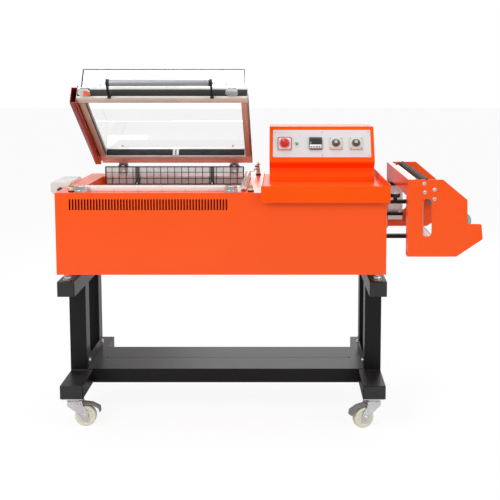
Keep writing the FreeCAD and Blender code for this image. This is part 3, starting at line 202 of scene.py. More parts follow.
finishDefaults = {
    "rough": 0.5, "metal": 0, "coat": 0, "coatRough": 0.05, "ior": 1.5, "glass": 0,
    "specular": 0.5,
    "tone": 0.06,            # how far the colour strays, light to dark
    "patch": 5, "speck": 160,
    "roughStray": 0.05,
    "dust": 0.10, "dustColour": (0.55, 0.52, 0.48),
    "bumpScale": 300, "bump": 0.1, "bumpDepth": 0.0003, "bumpStretch": None,
    "scuff": 0, "scuffColour": (0.3, 0.3, 0.3),
    "glow": 0,
}
looks = {}


def makeLook(name, colour, **given):
    # one procedural finish: mottled colour, dust on what faces up, scuffs, uneven gloss, fine relief
    values = dict(finishDefaults, **given)
    material = bpy.data.materials.new(name)
    material.use_nodes = True
    tree = material.node_tree
    graph = Graph(tree)
    surface = tree.nodes["Principled BSDF"]
    for socket, key in (("Metallic", "metal"), ("Coat Weight", "coat"), ("IOR", "ior"),
                        ("Coat Roughness", "coatRough"), ("Transmission Weight", "glass"),
                        ("Specular IOR Level", "specular"),
                        ("Emission Strength", "glow")):
        surface.inputs[socket].default_value = values[key]
    if values["glow"]:
        surface.inputs["Emission Color"].default_value = opaque(colour)
    wide = graph.noise(values["patch"], 4)
    fine = graph.noise(values["speck"], 2, values["bumpStretch"])
    stray = values["tone"]
    mottle = wide * 0.6 + fine * 0.4
    tinted = graph.blend(graph.ramp(mottle, 0.35, 0.65), shade(colour, 1 - stray),
                         shade(colour, 1 + stray))
    roughness = values["rough"] + (fine - 0.5) * 2 * values["roughStray"]
    if values["scuff"]:
        streak = graph.noise(38, 6, (1, 1, 6))
        worn = graph.ramp(streak * 0.7 + wide * 0.3, 0.60, 0.66) * values["scuff"]
        tinted = graph.blend(worn, tinted, opaque(values["scuffColour"]))
        roughness = roughness + worn * 0.2
    if values["dust"]:
        facing = graph.parts(graph.add("ShaderNodeNewGeometry", output=1))[2]
        settled = graph.ramp(facing, 0.4, 1) * graph.ramp(wide, 0.3, 0.8) * values["dust"]
        tinted = graph.blend(settled, tinted, opaque(values["dustColour"]))
        roughness = roughness + settled * 0.5
    tree.links.new(tinted.socket, surface.inputs["Base Color"])
    tree.links.new(roughness.socket, surface.inputs["Roughness"])
    if values["bump"]:
        relief = graph.noise(values["bumpScale"], 3, values["bumpStretch"])
        normal = graph.add("ShaderNodeBump", {}, {"Strength": values["bump"],
                           "Distance": values["bumpDepth"], "Height": relief})
        tree.links.new(normal.socket, surface.inputs["Normal"])
    looks[name] = material
    return graph, surface, tinted

def makeFloor():
    # pale floor that shows white to the camera and through clear sheet, and keeps the shadow
    material = bpy.data.materials.new("paleFloor")
    material.use_nodes = True
    tree = material.node_tree
    graph = Graph(tree)
    surface = tree.nodes["Principled BSDF"]
    surface.inputs["Roughness"].default_value = 0.9
    tone = graph.ramp(graph.noise(0.7, 3), 0.2, 0.8)
    tinted = graph.blend(tone, (0.80, 0.80, 0.80, 1), (0.84, 0.84, 0.84, 1))
    tree.links.new(tinted.socket, surface.inputs["Base Color"])
    rays = tree.nodes.new("ShaderNodeLightPath")
    seen = Link(graph, rays.outputs["Is Camera Ray"]) * 0.86
    seen = seen + Link(graph, rays.outputs["Is Transmission Ray"]) * 0.8
    white = graph.add("ShaderNodeEmission", {}, {"Color": (1, 1, 1, 1), "Strength": 1.05})
    mixed = graph.add("ShaderNodeMixShader", {}, {0: seen, 2: white})
    tree.links.new(surface.outputs[0], mixed.socket.node.inputs[1])
    tree.links.new(mixed.socket, tree.nodes["Material Output"].inputs["Surface"])
    shape = bmesh.new()
    bmesh.ops.create_grid(shape, x_segments=2, y_segments=2, size=30)
    data = bpy.data.meshes.new("floor")
    shape.to_mesh(data)
    shape.free()
    data.materials.append(material)
    floor = bpy.data.objects.new("floor", data)
    bpy.context.scene.collection.objects.link(floor)


def makeWorld():
    world = bpy.data.worlds.new("studio")
    world.use_nodes = True
    bpy.context.scene.world = world
    tree = world.node_tree
    graph = Graph(tree)
    backdrop = tree.nodes["Background"]
    backdrop.inputs["Color"].default_value = (1, 1, 1, 1)
    rays = tree.nodes.new("ShaderNodeLightPath")
    camera = Link(graph, rays.outputs["Is Camera Ray"])
    seen = graph.add("ShaderNodeMath", {"operation": "MAXIMUM"},
                     [camera, Link(graph, rays.outputs["Is Transmission Ray"])])
    glossy = Link(graph, rays.outputs["Is Glossy Ray"])
    strength = 0.42 + seen * 0.58 + glossy * 0.33
    tree.links.new(strength.socket, backdrop.inputs["Strength"])


# ---- finishes

def makeLooks():
    orange = (1.0, 0.092, 0.004)
    makeLook("orangePaint", orange, rough=0.22, coat=0.1, ior=1.4, tone=0.04, patch=3,
             dust=0.03, bumpScale=90, bump=0.10, bumpDepth=0.0004, roughStray=0.04)
    makeLook("boxPaint", orange, rough=0.3, specular=0.12, ior=1.4, tone=0.04, patch=3,
             dust=0.02, bumpScale=90, bump=0.10, bumpDepth=0.0004, roughStray=0.04)
    # orange paint darkened: painted shade for surfaces seen inside the body, behind openings
    makeLook("orangeInShade", (0.42, 0.03, 0.008), rough=0.55, tone=0.1, dust=0.1)
    # dark red: painted shade, standing for the orange-red paint of the hood's left channel in shadow
    makeLook("orangeRedInShade", (0.30, 0.012, 0.008), rough=0.22, coat=0.5, tone=0.08, dust=0.05)
    makeLook("blackPaint", (0.004, 0.004, 0.0045), rough=0.36, ior=1.33, tone=0.2, patch=6, dust=0.05,
             bumpScale=700, bump=0.22, scuff=0.05, scuffColour=(0.08, 0.08, 0.08))
    makeLook("greyPaint", (0.76, 0.76, 0.74), rough=0.4, tone=0.04, dust=0.08, bumpScale=500)
    makeLook("whitePaint", (0.80, 0.80, 0.78), rough=0.35, coat=0.2, tone=0.03, dust=0.04)
    makeLook("stainless", (0.60, 0.61, 0.62), rough=0.32, metal=1, tone=0.08, speck=120,
             bumpStretch=(1, 12, 12), bump=0.12, dust=0.06, scuff=0.12, scuffColour=(0.42, 0.40, 0.38))
    makeLook("aluminium", (0.82, 0.82, 0.82), rough=0.42, metal=0.75, tone=0.04, speck=150,
             bumpStretch=(1, 14, 14), bump=0.08, dust=0.03)
    makeLook("gripGrey", (0.30, 0.31, 0.33), rough=0.34, metal=0.5, tone=0.05, speck=150, dust=0.04,
             bumpStretch=(1, 14, 14), bump=0.08)
    makeLook("panelSilver", (0.66, 0.68, 0.69), rough=0.45, metal=0.15, tone=0.03, speck=220,
             bumpStretch=(1, 16, 16), bump=0.06, dust=0.02)
    makeLook("zinc", (0.72, 0.73, 0.74), rough=0.36, metal=1, tone=0.12, patch=30, speck=90,
             bumpScale=160, bump=0.08, dust=0.06)
    makeLook("yellowZinc", (0.62, 0.50, 0.26), rough=0.36, metal=1, tone=0.14, patch=40, dust=0.05)
    makeLook("chrome", (0.80, 0.80, 0.81), rough=0.10, metal=1, tone=0.03, dust=0.02, bump=0.02)
    makeLook("darkSteel", (0.10, 0.10, 0.11), rough=0.42, metal=0.8, tone=0.2, dust=0.08)
    makeLook("brass", (0.70, 0.47, 0.17), rough=0.28, metal=1, tone=0.12, patch=40, dust=0.02)
    makeLook("copper", (0.60, 0.25, 0.12), rough=0.35, metal=1, tone=0.15, patch=30, dust=0.03)
    makeLook("creamNylon", (0.80, 0.79, 0.64), rough=0.42, tone=0.05, patch=30, dust=0.14,
             bumpScale=500, bump=0.12, scuff=0.18, scuffColour=(0.35, 0.32, 0.28))
    makeLook("greyPlastic", (0.20, 0.21, 0.22), rough=0.45, tone=0.08, dust=0.08, bumpScale=700)
    makeLook("blackPlastic", (0.014, 0.014, 0.015), rough=0.38, tone=0.15, dust=0.05, bumpScale=700)
    makeLook("blackRubber", (0.016, 0.015, 0.015), rough=0.75, tone=0.2, dust=0.10, bumpScale=400,
             bump=0.25)
    makeLook("beigePlastic", (0.66, 0.63, 0.54), rough=0.42, tone=0.03, dust=0.03, bumpScale=700)
    makeLook("whitePlastic", (0.80, 0.79, 0.76), rough=0.32, tone=0.03, dust=0.03, bumpScale=600)
    makeLook("dialGrey", (0.075, 0.08, 0.09), rough=0.4, tone=0.1, dust=0.04, bumpScale=700)
    makeLook("dialLight", (0.50, 0.51, 0.52), rough=0.35, tone=0.06, dust=0.02)
    makeLook("redPlastic", (0.72, 0.008, 0.012), rough=0.28, coat=0.2, tone=0.05, dust=0.03)
    makeLook("darkRedInk", (0.42, 0.012, 0.02), rough=0.4, tone=0.05, dust=0.02)
    makeLook("greenLens", (0.03, 0.42, 0.16), rough=0.12, coat=0.4, tone=0.05, dust=0, glow=0.12,
             bump=0.03)
    makeLook("displayGlass", (0.010, 0.012, 0.014), rough=0.10, coat=0.5, tone=0.2, dust=0, bump=0.02)
    makeLook("siliconeTan", (0.62, 0.44, 0.31), rough=0.68, tone=0.09, patch=14, speck=300,
             bumpScale=900, bump=0.35, dust=0.04)
    makeLook("siliconePale", (0.74, 0.66, 0.56), rough=0.65, tone=0.06, patch=14, speck=300,
             bumpScale=900, bump=0.35, dust=0.04)
    makeLook("greyFoam", (0.30, 0.29, 0.29), rough=0.8, tone=0.1, speck=300, bumpScale=900, bump=0.4)
    makeLook("tapeBrown", (0.40, 0.25, 0.14), rough=0.35, tone=0.14, patch=12, speck=260,
             bumpStretch=(1, 1, 1), bumpScale=1400, bump=0.3, dust=0.02)
    makeLook("phenolic", (0.24, 0.13, 0.07), rough=0.45, tone=0.15, patch=20, dust=0.04)
    makeLook("tealRubber", (0.22, 0.50, 0.44), rough=0.5, tone=0.10, patch=18, dust=0.05,
             bumpScale=500, bump=0.2)
    makeLook("insulator", (0.78, 0.77, 0.72), rough=0.25, coat=0.3, tone=0.05, dust=0.04)
    makeLook("blackWire", (0.02, 0.02, 0.022), rough=0.4, metal=0.4, tone=0.2, dust=0.05)
    makeLook("sleeve", (0.75, 0.72, 0.62), rough=0.25, glass=0.4, tone=0.05, dust=0)
    makeAcrylic()
    makeFineMesh()


def makeAcrylic():
    graph, surface, tinted = makeLook("clearAcrylic", (0.985, 0.975, 0.975), rough=0.015, glass=1,
                                      ior=1.49, tone=0.004, dust=0.012, roughStray=0.006,
                                      bumpScale=4, bump=0.01, bumpDepth=0.0002)


def makeFineMesh():
    # woven wire cloth: two sets of wires on a square pitch, open between them
    pitch, share = 3.2, 0.42
    graph, surface, tinted = makeLook("fineMesh", (0.72, 0.72, 0.70), rough=0.4, metal=0.8, dust=0)
    across, _, up = graph.parts(graph.place())
    wires = []
    for run in (across, up):
        step = graph.add("ShaderNodeMath", {"operation": "FRACT"}, [run * (1 / (pitch * millimetre))])
        wires.append(graph.add("ShaderNodeMath", {"operation": "LESS_THAN"}, [step, share]))
    solid = graph.add("ShaderNodeMath", {"operation": "MAXIMUM"}, wires)
    graph.tree.links.new(solid.socket, surface.inputs["Alpha"])


# ---- solid shapes

class Shape:
    # gathers solids, each with its look, into one mesh
    def __init__(self):
        self.mesh = bmesh.new()
        self.used = []

    def take(self, part, look, turned=None):
        if turned is not None:
            bmesh.ops.transform(part, matrix=turned, verts=part.verts)
        if look not in self.used:
            self.used.append(look)
        for face in part.faces:
            face.material_index = self.used.index(look)
            face.smooth = True
        holder = bpy.data.meshes.new("part")
        part.to_mesh(holder)
        part.free()
        self.mesh.from_mesh(holder)
        bpy.data.meshes.remove(holder)

    def box(self, look, low, high, soft=0.6, turned=None, steps=2):
        low, high = Vector(low), Vector(high)
        size = high - low
        part = bmesh.new()
        bmesh.ops.create_cube(part, size=1, matrix=Matrix.Translation((low + high) / 2)
                              @ Matrix.Diagonal((*size, 1)))
        if soft:
            bmesh.ops.bevel(part, geom=part.edges[:], offset=min(soft, min(size) * 0.45),
                            offset_type="OFFSET", segments=steps, profile=0.5, affect="EDGES",
                            material=-1, clamp_overlap=True)
        self.take(part, look, turned)

    def lathe(self, look, at, axis, profile, steps=28, turned=None):
        # profile: (radius, distance along the axis) pairs, closed onto the axis or a ring
        part = bmesh.new()
        verts = [part.verts.new((radius, 0, along)) for radius, along in profile]
        ring = profile[0][0] > 0 and profile[-1][0] > 0
        edges = [part.edges.new(pair) for pair in zip(verts, verts[1:])]
        if ring:
            edges.append(part.edges.new((verts[-1], verts[0])))
        bmesh.ops.spin(part, geom=verts + edges, cent=(0, 0, 0), axis=(0, 0, 1), dvec=(0, 0, 0),
                       angle=2 * math.pi, steps=steps, use_merge=True, use_normal_flip=False,
                       use_duplicate=False)
        bmesh.ops.remove_doubles(part, verts=part.verts, dist=0.001)
        bmesh.ops.recalc_face_normals(part, faces=part.faces)
        turn = Vector((0, 0, 1)).rotation_difference(aimOf(axis)).to_matrix().to_4x4()
        bmesh.ops.transform(part, matrix=Matrix.Translation(at) @ turn, verts=part.verts)
        self.take(part, look, turned)

    def rod(self, look, at, axis, radius, length, soft=0.5, steps=24, turned=None):
        soft = min(soft, radius * 0.45, length * 0.45)
        self.lathe(look, at, axis, [(0, 0), (radius - soft, 0), (radius, soft),
                                    (radius, length - soft), (radius - soft, length), (0, length)],
                   steps, turned)

    def ring(self, look, at, axis, inner, outer, length, soft=0.4, steps=28, turned=None):
        soft = min(soft, (outer - inner) * 0.4, length * 0.45)
        self.lathe(look, at, axis, [(inner, 0), (outer - soft, 0), (outer, soft),
                                    (outer, length - soft), (outer - soft, length), (inner, length)],
                   steps, turned)

    def prism(self, look, outline, axis, start, depth, soft=0.5, turned=None, steps=2):
        # outline: pairs across the axis, in the order of the two letters that are left
        part = bmesh.new()
        place = {"x": lambda a, b: (start, a, b), "y": lambda a, b: (a, start, b),
                 "z": lambda a, b: (a, b, start)}[axis]
        face = part.faces.new([part.verts.new(place(a, b)) for a, b in outline])
        pushed = bmesh.ops.extrude_face_region(part, geom=[face])["geom"]
        moved = [item for item in pushed if isinstance(item, bmesh.types.BMVert)]
        bmesh.ops.translate(part, verts=moved, vec=axisVectors[axis] * depth)
        bmesh.ops.recalc_face_normals(part, faces=part.faces)
        if soft:
            bmesh.ops.bevel(part, geom=part.edges[:], offset=soft, offset_type="OFFSET",
                            segments=steps, profile=0.5, affect="EDGES", material=-1,
                            clamp_overlap=True)
        self.take(part, look, turned)

    def hexagon(self, look, at, axis, flats, height, turned=None):
        # nut or bolt head with a turned chamfer
        part = bmesh.new()
        bmesh.ops.create_cone(part, cap_ends=True, segments=6, radius1=flats / math.sqrt(3),
                              radius2=flats / math.sqrt(3), depth=height,
                              matrix=Matrix.Translation((0, 0, height / 2)))
        bmesh.ops.bevel(part, geom=part.edges[:], offset=min(0.8, height * 0.2),
                        offset_type="OFFSET", segments=1, profile=0.5, affect="EDGES", material=-1,
                        clamp_overlap=True)
        turn = Vector((0, 0, 1)).rotation_difference(aimOf(axis))
        bmesh.ops.transform(part, matrix=Matrix.Translation(at) @ turn.to_matrix().to_4x4(),
                            verts=part.verts)
        self.take(part, look, turned)

    def screw(self, at, axis, radius=3.5, look="zinc", slotted=False, turned=None):
        # low domed head with a cross recess shown by two sunk bars
        aim = aimOf(axis)
        high = radius * 0.55
        self.lathe(look, at, aim, [(0, 0), (radius, 0), (radius * 0.98, high * 0.4),
                                   (radius * 0.7, high * 0.85), (0, high)], 16, turned)
        turn = Matrix.Translation(at) @ Vector((0, 0, 1)).rotation_difference(aim).to_matrix().to_4x4()
        place = turn if turned is None else turned @ turn
        wide, long = radius * 0.12, radius * 0.55
        self.box("darkSteel", (-wide, -long, high * 0.7), (wide, long, high * 1.03), 0, place)
        if not slotted:
            self.box("darkSteel", (-long, -wide, high * 0.7), (long, wide, high * 1.03), 0, place)

    def tube(self, look, points, radius, sides=12, turned=None):
        # round wire along a bent path
        curve = bpy.data.curves.new("path", "CURVE")
        curve.dimensions = "3D"
        curve.bevel_depth = radius
        curve.bevel_resolution = max(1, sides // 4 - 1)
        curve.use_fill_caps = True
        spline = curve.splines.new("POLY")
        spline.points.add(len(points) - 1)
        for knot, point in zip(spline.points, points):
            knot.co = (*point, 1)
        holder = bpy.data.objects.new("path", curve)
        made = bpy.data.meshes.new_from_object(holder)
        part = bmesh.new()
        part.from_mesh(made)
        bmesh.ops.recalc_face_normals(part, faces=part.faces)
        bpy.data.objects.remove(holder)
        bpy.data.curves.remove(curve)
        bpy.data.meshes.remove(made)
        self.take(part, look, turned)

    def finish(self, name, body, replaced=(), turned=None):
        if turned is not None:
            bmesh.ops.transform(self.mesh, matrix=turned, verts=self.mesh.verts)
        bmesh.ops.scale(self.mesh, vec=(millimetre,) * 3, verts=self.mesh.verts)
        data = bpy.data.meshes.new(name)
        self.mesh.to_mesh(data)
        self.mesh.free()
        for look in self.used:
            data.materials.append(looks[look])
        data.set_sharp_from_angle(angle=math.radians(35))
        piece = bpy.data.objects.new(name, data)
        bpy.context.scene.collection.objects.link(piece)
        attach(piece, body)
        if replaced:
            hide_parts(*replaced)
        return piece


def rounded(width, tall, radius, steps=5, centre=(0, 0)):
    # outline of a rectangle with round corners
    points = []
    for quarter, (side, up) in enumerate(((1, 1), (-1, 1), (-1, -1), (1, -1))):
        middle = (centre[0] + side * (width / 2 - radius), centre[1] + up * (tall / 2 - radius))
        for n in range(steps + 1):
            turn = math.pi / 2 * (quarter + n / steps)
            points.append((middle[0] + radius * math.cos(turn), middle[1] + radius * math.sin(turn)))
    return points


# ---- stand and casters

joints = {joint["name"]: joint for joint in frame["joints"]}
standValues = {"capInset": 2, "capThick": 1.5, "bolt": 13, "weld": 2.2}


def makeStand(values):
    print("stand")
    caps = Shape()
    for node in ("left_frame", "right_frame"):
        low, high = corners(node)
        inset, thick = values["capInset"], values["capThick"]
        inner = high.x - 20 if node == "left_frame" else high.x
        left = low.x if node == "left_frame" else low.x + 20
        for across, tall in (((low.x, high.x), (low.z, low.z + 48)),
                             ((left, inner), (high.z - 53, high.z))):
            for y, side in ((low.y, -1), (high.y, 1)):
                near, far = sorted((y, y + side * thick))
                caps.box("blackPlastic", (across[0] + inset, near, tall[0] + inset),
                         (across[1] - inset, far, tall[1] - inset), 0.6)
        for y in (-106, -46, 123, 183):
            for z in (low.z + 48, high.z - 53):
                caps.tube("blackPaint", [(left + 1, y, z), (inner - 1, y, z)], values["weld"], 8)
    caps.finish("tubeEndCaps", "base")

    bolts = Shape()
    low, high = corners("stand_bolts")
    beamTop = corners("left_frame")[1].z
    under = corners("base_plate")[0].z
    for x in (-665.5, 412.5):
        for y in (-243, 264):
            bolts.rod("zinc", (x, y, beamTop + 0.2), "z", 16, 2.2)
            bolts.hexagon("zinc", (x, y, beamTop + 2.4), "z", 24, 12)
            bolts.rod("zinc", (x, y, beamTop), "z", 7.4, under - beamTop, 0.2)
            for n in range(7):
                bolts.ring("zinc", (x, y, beamTop + 15 + n * 1.6), "z", 7, 8, 0.9, 0.4, 20)
            bolts.rod("blackRubber", (x, y, under - 4.2), "z", 15, 4, 1)
    for x, side in ((-633.5, 1), (380.5, -1)):
        for y in (-76, 153):
            spot = (x, y, 189)
            bolts.rod("zinc", spot, (side, 0, 0), 10, 1.2, 0.3)
            bolts.hexagon("zinc", (x + side * 1.2, y, 189), (side, 0, 0), values["bolt"], 5)
    bolts.finish("standFasteners", "base", ["stand_bolts"])


casterValues = {
    "names": ("front_left", "front_right", "rear_left", "rear_right"),
    "tread": [(5.05, -15), (9, -15), (9.5, -14.4), (10.5, -12.2), (24, -10.8), (27, -12.6), (33, -13.6),
              (35.6, -12.4), (37, -9.5), (37.5, -5), (37.5, 5), (37, 9.5), (35.6, 12.4), (33, 13.6),
              (27, 12.6), (24, 10.8), (10.5, 12.2), (9.5, 14.4), (9, 15), (5.05, 15)],
    "plate": (38, 42), "plateLow": 108, "plateHigh": 111,
    "cup": [(10, 94.3), (24.5, 94.3), (26.5, 96), (27, 99), (25, 103), (25.5, 106), (28, 108), (10, 108)],
}


def makeCasters(values):
    print("casters")
    tops = Shape()
    for name in values["names"]:
        spin, swivel = joints[name + "_wheel_spin"], joints[name + "_swivel"]
        centre = Vector(spin["pos_m"]) / millimetre
        axis = Vector(spin["axis"])
        wheel = Shape()
        wheel.lathe("creamNylon", centre, axis, values["tread"], 40)
        for side in (-1, 1):
            wheel.ring("darkSteel", centre + axis * (14.2 * side - 0.5), axis, 5.05, 8.6, 1, 0.3, 20)
        # moulded ribs in the dish beside the hub
        for n in range(6):
            turn = Matrix.Translation(centre) @ Vector((0, 0, 1)).rotation_difference(
                axis).to_matrix().to_4x4() @ Matrix.Rotation(n * math.pi / 3, 4, "Z")
            wheel.box("creamNylon", (10, -1.2, -12.6), (25, 1.2, 12.6), 0.4, turn)
        wheel.finish(name + "Wheel", name + "_caster_wheel", [name + "_wheel"])

        x, y = (value / millimetre for value in swivel["pos_m"][:2])
        half, deep = values["plate"]
        tops.prism("zinc", rounded(half * 2, deep * 2, 6, 3, (x, y)), "z", values["plateLow"],
                   values["plateHigh"] - values["plateLow"], 0.4, None, 1)
        tops.lathe("zinc", (x, y, 0), "z", values["cup"], 32)
        tops.rod("darkSteel", (x, y, 85), "z", 4.95, 22, 0.3)
        tops.hexagon("zinc", (x, y, 82.2), "z", 15, 7.4)
        for side in (-1, 1):
            for end in (-1, 1):
                tops.rod("zinc", (x + side * 29, y + end * 33, 106), "z", 5, 2, 0.6, 12)

        details = Shape()
        forward = (centre - Vector((x, y, centre.z))).normalized()
        for side in (-1, 1):
            for n, along in enumerate((0.35, 0.65)):
                spot = Vector((x, y, 0)) + forward * (along * 40) + axis * side * 18.5
                details.rod("darkSteel", spot + Vector((0, 0, 84)), axis * side, 1.6, 0.5, 0.15, 10)
            details.ring("zinc", centre + axis * side * 18.5, axis * side, 5.2, 11, 1.2, 0.3, 24)
        details.ring("blackRubber", Vector((x, y, 90.5)), "z", 22, 25.5, 3.2, 0.8, 28)
        details.finish(name + "ForkDetails", name + "_caster")
        if name.startswith("front"):
            pedal = Shape()
            for n in range(4):
                start = Vector((x, y, 0)) + forward * (66 + n * 5.2)
                high = 79.2 - n * 3.1
                pedal.tube("greyPlastic", [start + axis * -11 + Vector((0, 0, high)),
                                           start + axis * 11 + Vector((0, 0, high))], 1.2, 8)
            pedal.finish(name + "PedalRibs", name + "_pedal")
    tops.finish("casterTops", "base", ["caster_plates"])


# ---- body

louvreValues = {"first": -641, "pitch": 10.2, "count": 53, "width": 5.8, "high": 820, "low": 783,
                "lean": 38, "thick": 1.0, "deep": 9}


def makeLouvres(values):
    # a slanting blade behind each slot
    print("louvres")
    blades = Shape()
    back = corners("front_panel")[1].y
    for n in range(values["count"]):
        middle = values["first"] + n * values["pitch"] + values["width"] / 2
        turn = Matrix.Translation((middle + 1.5, back + 3.4, 0)) @ Matrix.Rotation(
            math.radians(values["lean"]), 4, "Z")
        # blades in darkened orange paint: painted shade behind the slots
        blades.box("orangeInShade", (-values["thick"] / 2, -3.2, values["low"] - 2),
                   (values["thick"] / 2, values["deep"] - 3, values["high"] + 2), 0, turn)
    # black sheet behind the blades: painted shade standing for the dark inside of the body
    blades.box("blackPaint", (values["first"] - 8, back + 12, values["low"] - 6),
               (values["first"] + values["count"] * values["pitch"] + 4, back + 13, values["high"] + 6), 0)
    blades.finish("louvreBlades", "base")


bodyValues = {"coverLow": 592, "coverHigh": 812, "coverLeft": -560, "coverRight": 120}


def makeBodyDetails(values):
    print("body details")
    low, high = corners("body_wrapper")
    cover = Shape()
    cover.prism("orangePaint", rounded(values["coverRight"] - values["coverLeft"],
                values["coverHigh"] - values["coverLow"], 6, 4,
                ((values["coverLeft"] + values["coverRight"]) / 2,
                 (values["coverLow"] + values["coverHigh"]) / 2)), "y", high.y, 1.5, 0.4)
    for x in (values["coverLeft"] + 12, (values["coverLeft"] + values["coverRight"]) / 2,
              values["coverRight"] - 12):
        for z in (values["coverLow"] + 12, values["coverHigh"] - 12):
            cover.screw((x, high.y + 1.5, z), "y", 4)
    for x in (low.x, high.x):
        side = -1 if x < 0 else 1
        for y in (-270, 0, 270):
            cover.screw((x, y, 578), (side, 0, 0), 4)
    # rim and locknut of the cable hole
    cover.ring("blackPlastic", (375.5, high.y, 740), "y", 12.2, 16, 2, 0.6)
    cover.finish("rearCover", "base")

    boxLow, boxHigh = corners("junction_box")
    lid = Shape()
    lid.box("greyPaint", (boxLow.x + 3, boxLow.y + 4, boxHigh.z), (boxHigh.x - 2, boxHigh.y - 4,
            boxHigh.z + 1.5), 0.5)
    for y in (boxLow.y + 14, boxHigh.y - 14):
        for x in (boxLow.x + 12, boxHigh.x - 10):
            lid.screw((x, y, boxHigh.z + 1.5), "z", 3)
    lid.rod("blackPlastic", (boxLow.x + 36, boxLow.y - 8, boxLow.z + 24), "y", 9, 8, 1)
    lid.hexagon("blackPlastic", (boxLow.x + 36, boxLow.y - 6, boxLow.z + 24), "y", 21, 6)
    lid.finish("junctionLid", "base")


# ---- chamber

meshValues = {"wire": 1.6, "across": 32, "bearers": 7, "frame": 3.5}


def makeChamber(values):
    print("chamber")
    low, high = corners("product_mesh")
    grid = Shape()
    level = high.z - values["wire"]
    for n in range(values["across"]):
        y = low.y + 4 + (high.y - low.y - 8) * n / (values["across"] - 1)
        grid.tube("stainless", [(low.x + 1, y, level), (high.x - 1, y, level)], values["wire"], 8)
    for n in range(values["bearers"]):
        x = low.x + 4 + (high.x - low.x - 8) * n / (values["bearers"] - 1)
        grid.tube("stainless", [(x, low.y + 1, level - 3.6), (x, high.y - 1, level - 3.6)], 2.2, 8)
    for y in (low.y + 4, high.y - 4):
        grid.box("stainless", (low.x, y - 3.5, low.z), (high.x, y + 3.5, level - 1), 0.6)
    grid.finish("productGrid", "base", ["product_mesh"])

    coils = Shape()
    low, high = corners("heater_elements")
    for y in (103, 131, 159):
        bend = [(high.x - 14 + 12 * math.sin(turn), y, (low.z + high.z) / 2 + 18 * math.cos(turn))
                for turn in [math.pi * n / 10 for n in range(11)]]
        coils.tube("darkSteel", [(low.x + 22, y, high.z - 8)] + bend + [(low.x + 22, y, low.z + 8)], 5, 12)
        coils.box("stainless", (low.x, y - 9, low.z), (low.x + 24, y + 9, high.z), 1)
        for z in (low.z + 8, high.z - 8):
            coils.rod("insulator", (low.x + 22, y, z), "x", 7, 8, 1)
    coils.finish("heaterTubes", "base", ["heater_elements"])


grilleValues = {"wire": 1.15, "frame": 2.4, "columns": 20, "rows": 3}


def makeGrille(values):
    print("grille")
    low, high = corners("air_outlet_grille")
    grille = Shape()
    front, bottom = low.y, low.z + 30
    inset = values["frame"]
    corner = [(low.x + inset, bottom + inset), (high.x - inset, bottom + inset),
              (high.x - inset, high.z - inset), (low.x + inset, high.z - inset)]
    for (x, z), (toX, toZ) in zip(corner, corner[1:] + corner[:1]):
        grille.tube("blackWire", [(x, front + inset, z), (toX, front + inset, toZ)], inset, 8)
    for n in range(1, values["columns"]):
        x = low.x + (high.x - low.x) * n / values["columns"]
        grille.tube("blackWire", [(x, front + 2.2, bottom + 2), (x, front + 2.2, high.z - 2)],
                    values["wire"], 8)
    for n in range(1, values["rows"]):
        z = bottom + (high.z - bottom) * n / values["rows"]
        grille.tube("blackWire", [(low.x + 2, front + 4.2, z), (high.x - 2, front + 4.2, z)],
                    values["wire"], 8)
    for share in (0.23, 0.77):
        x = low.x + (high.x - low.x) * share
        grille.box("darkSteel", (x - 8, front + 5, bottom - 30), (x + 8, front + 7, high.z - 1), 0.5)
        grille.box("darkSteel", (x - 8, front + 7, bottom - 30), (x + 8, high.y, bottom - 28), 0.5)
        grille.rod("blackPlastic", (x, front + 5, bottom + 6), (0, -1, 0), 9, 9, 1.5, 20)
        grille.rod("zinc", (x, front - 4, bottom + 6), (0, -1, 0), 3, 2, 0.5, 12)
    grille.finish("airGrille", "base", ["air_outlet_grille"])
    cloth = Shape()
    cloth.box("fineMesh", (low.x + 4, front + 7.2, bottom + 3), (high.x - 4, front + 7.8, high.z - 3), 0)
    cloth.finish("grilleCloth", "base")


# ---- sealing jaws

jawValues = {"tape": 16, "tapeThick": 0.2, "wire": 0.9}


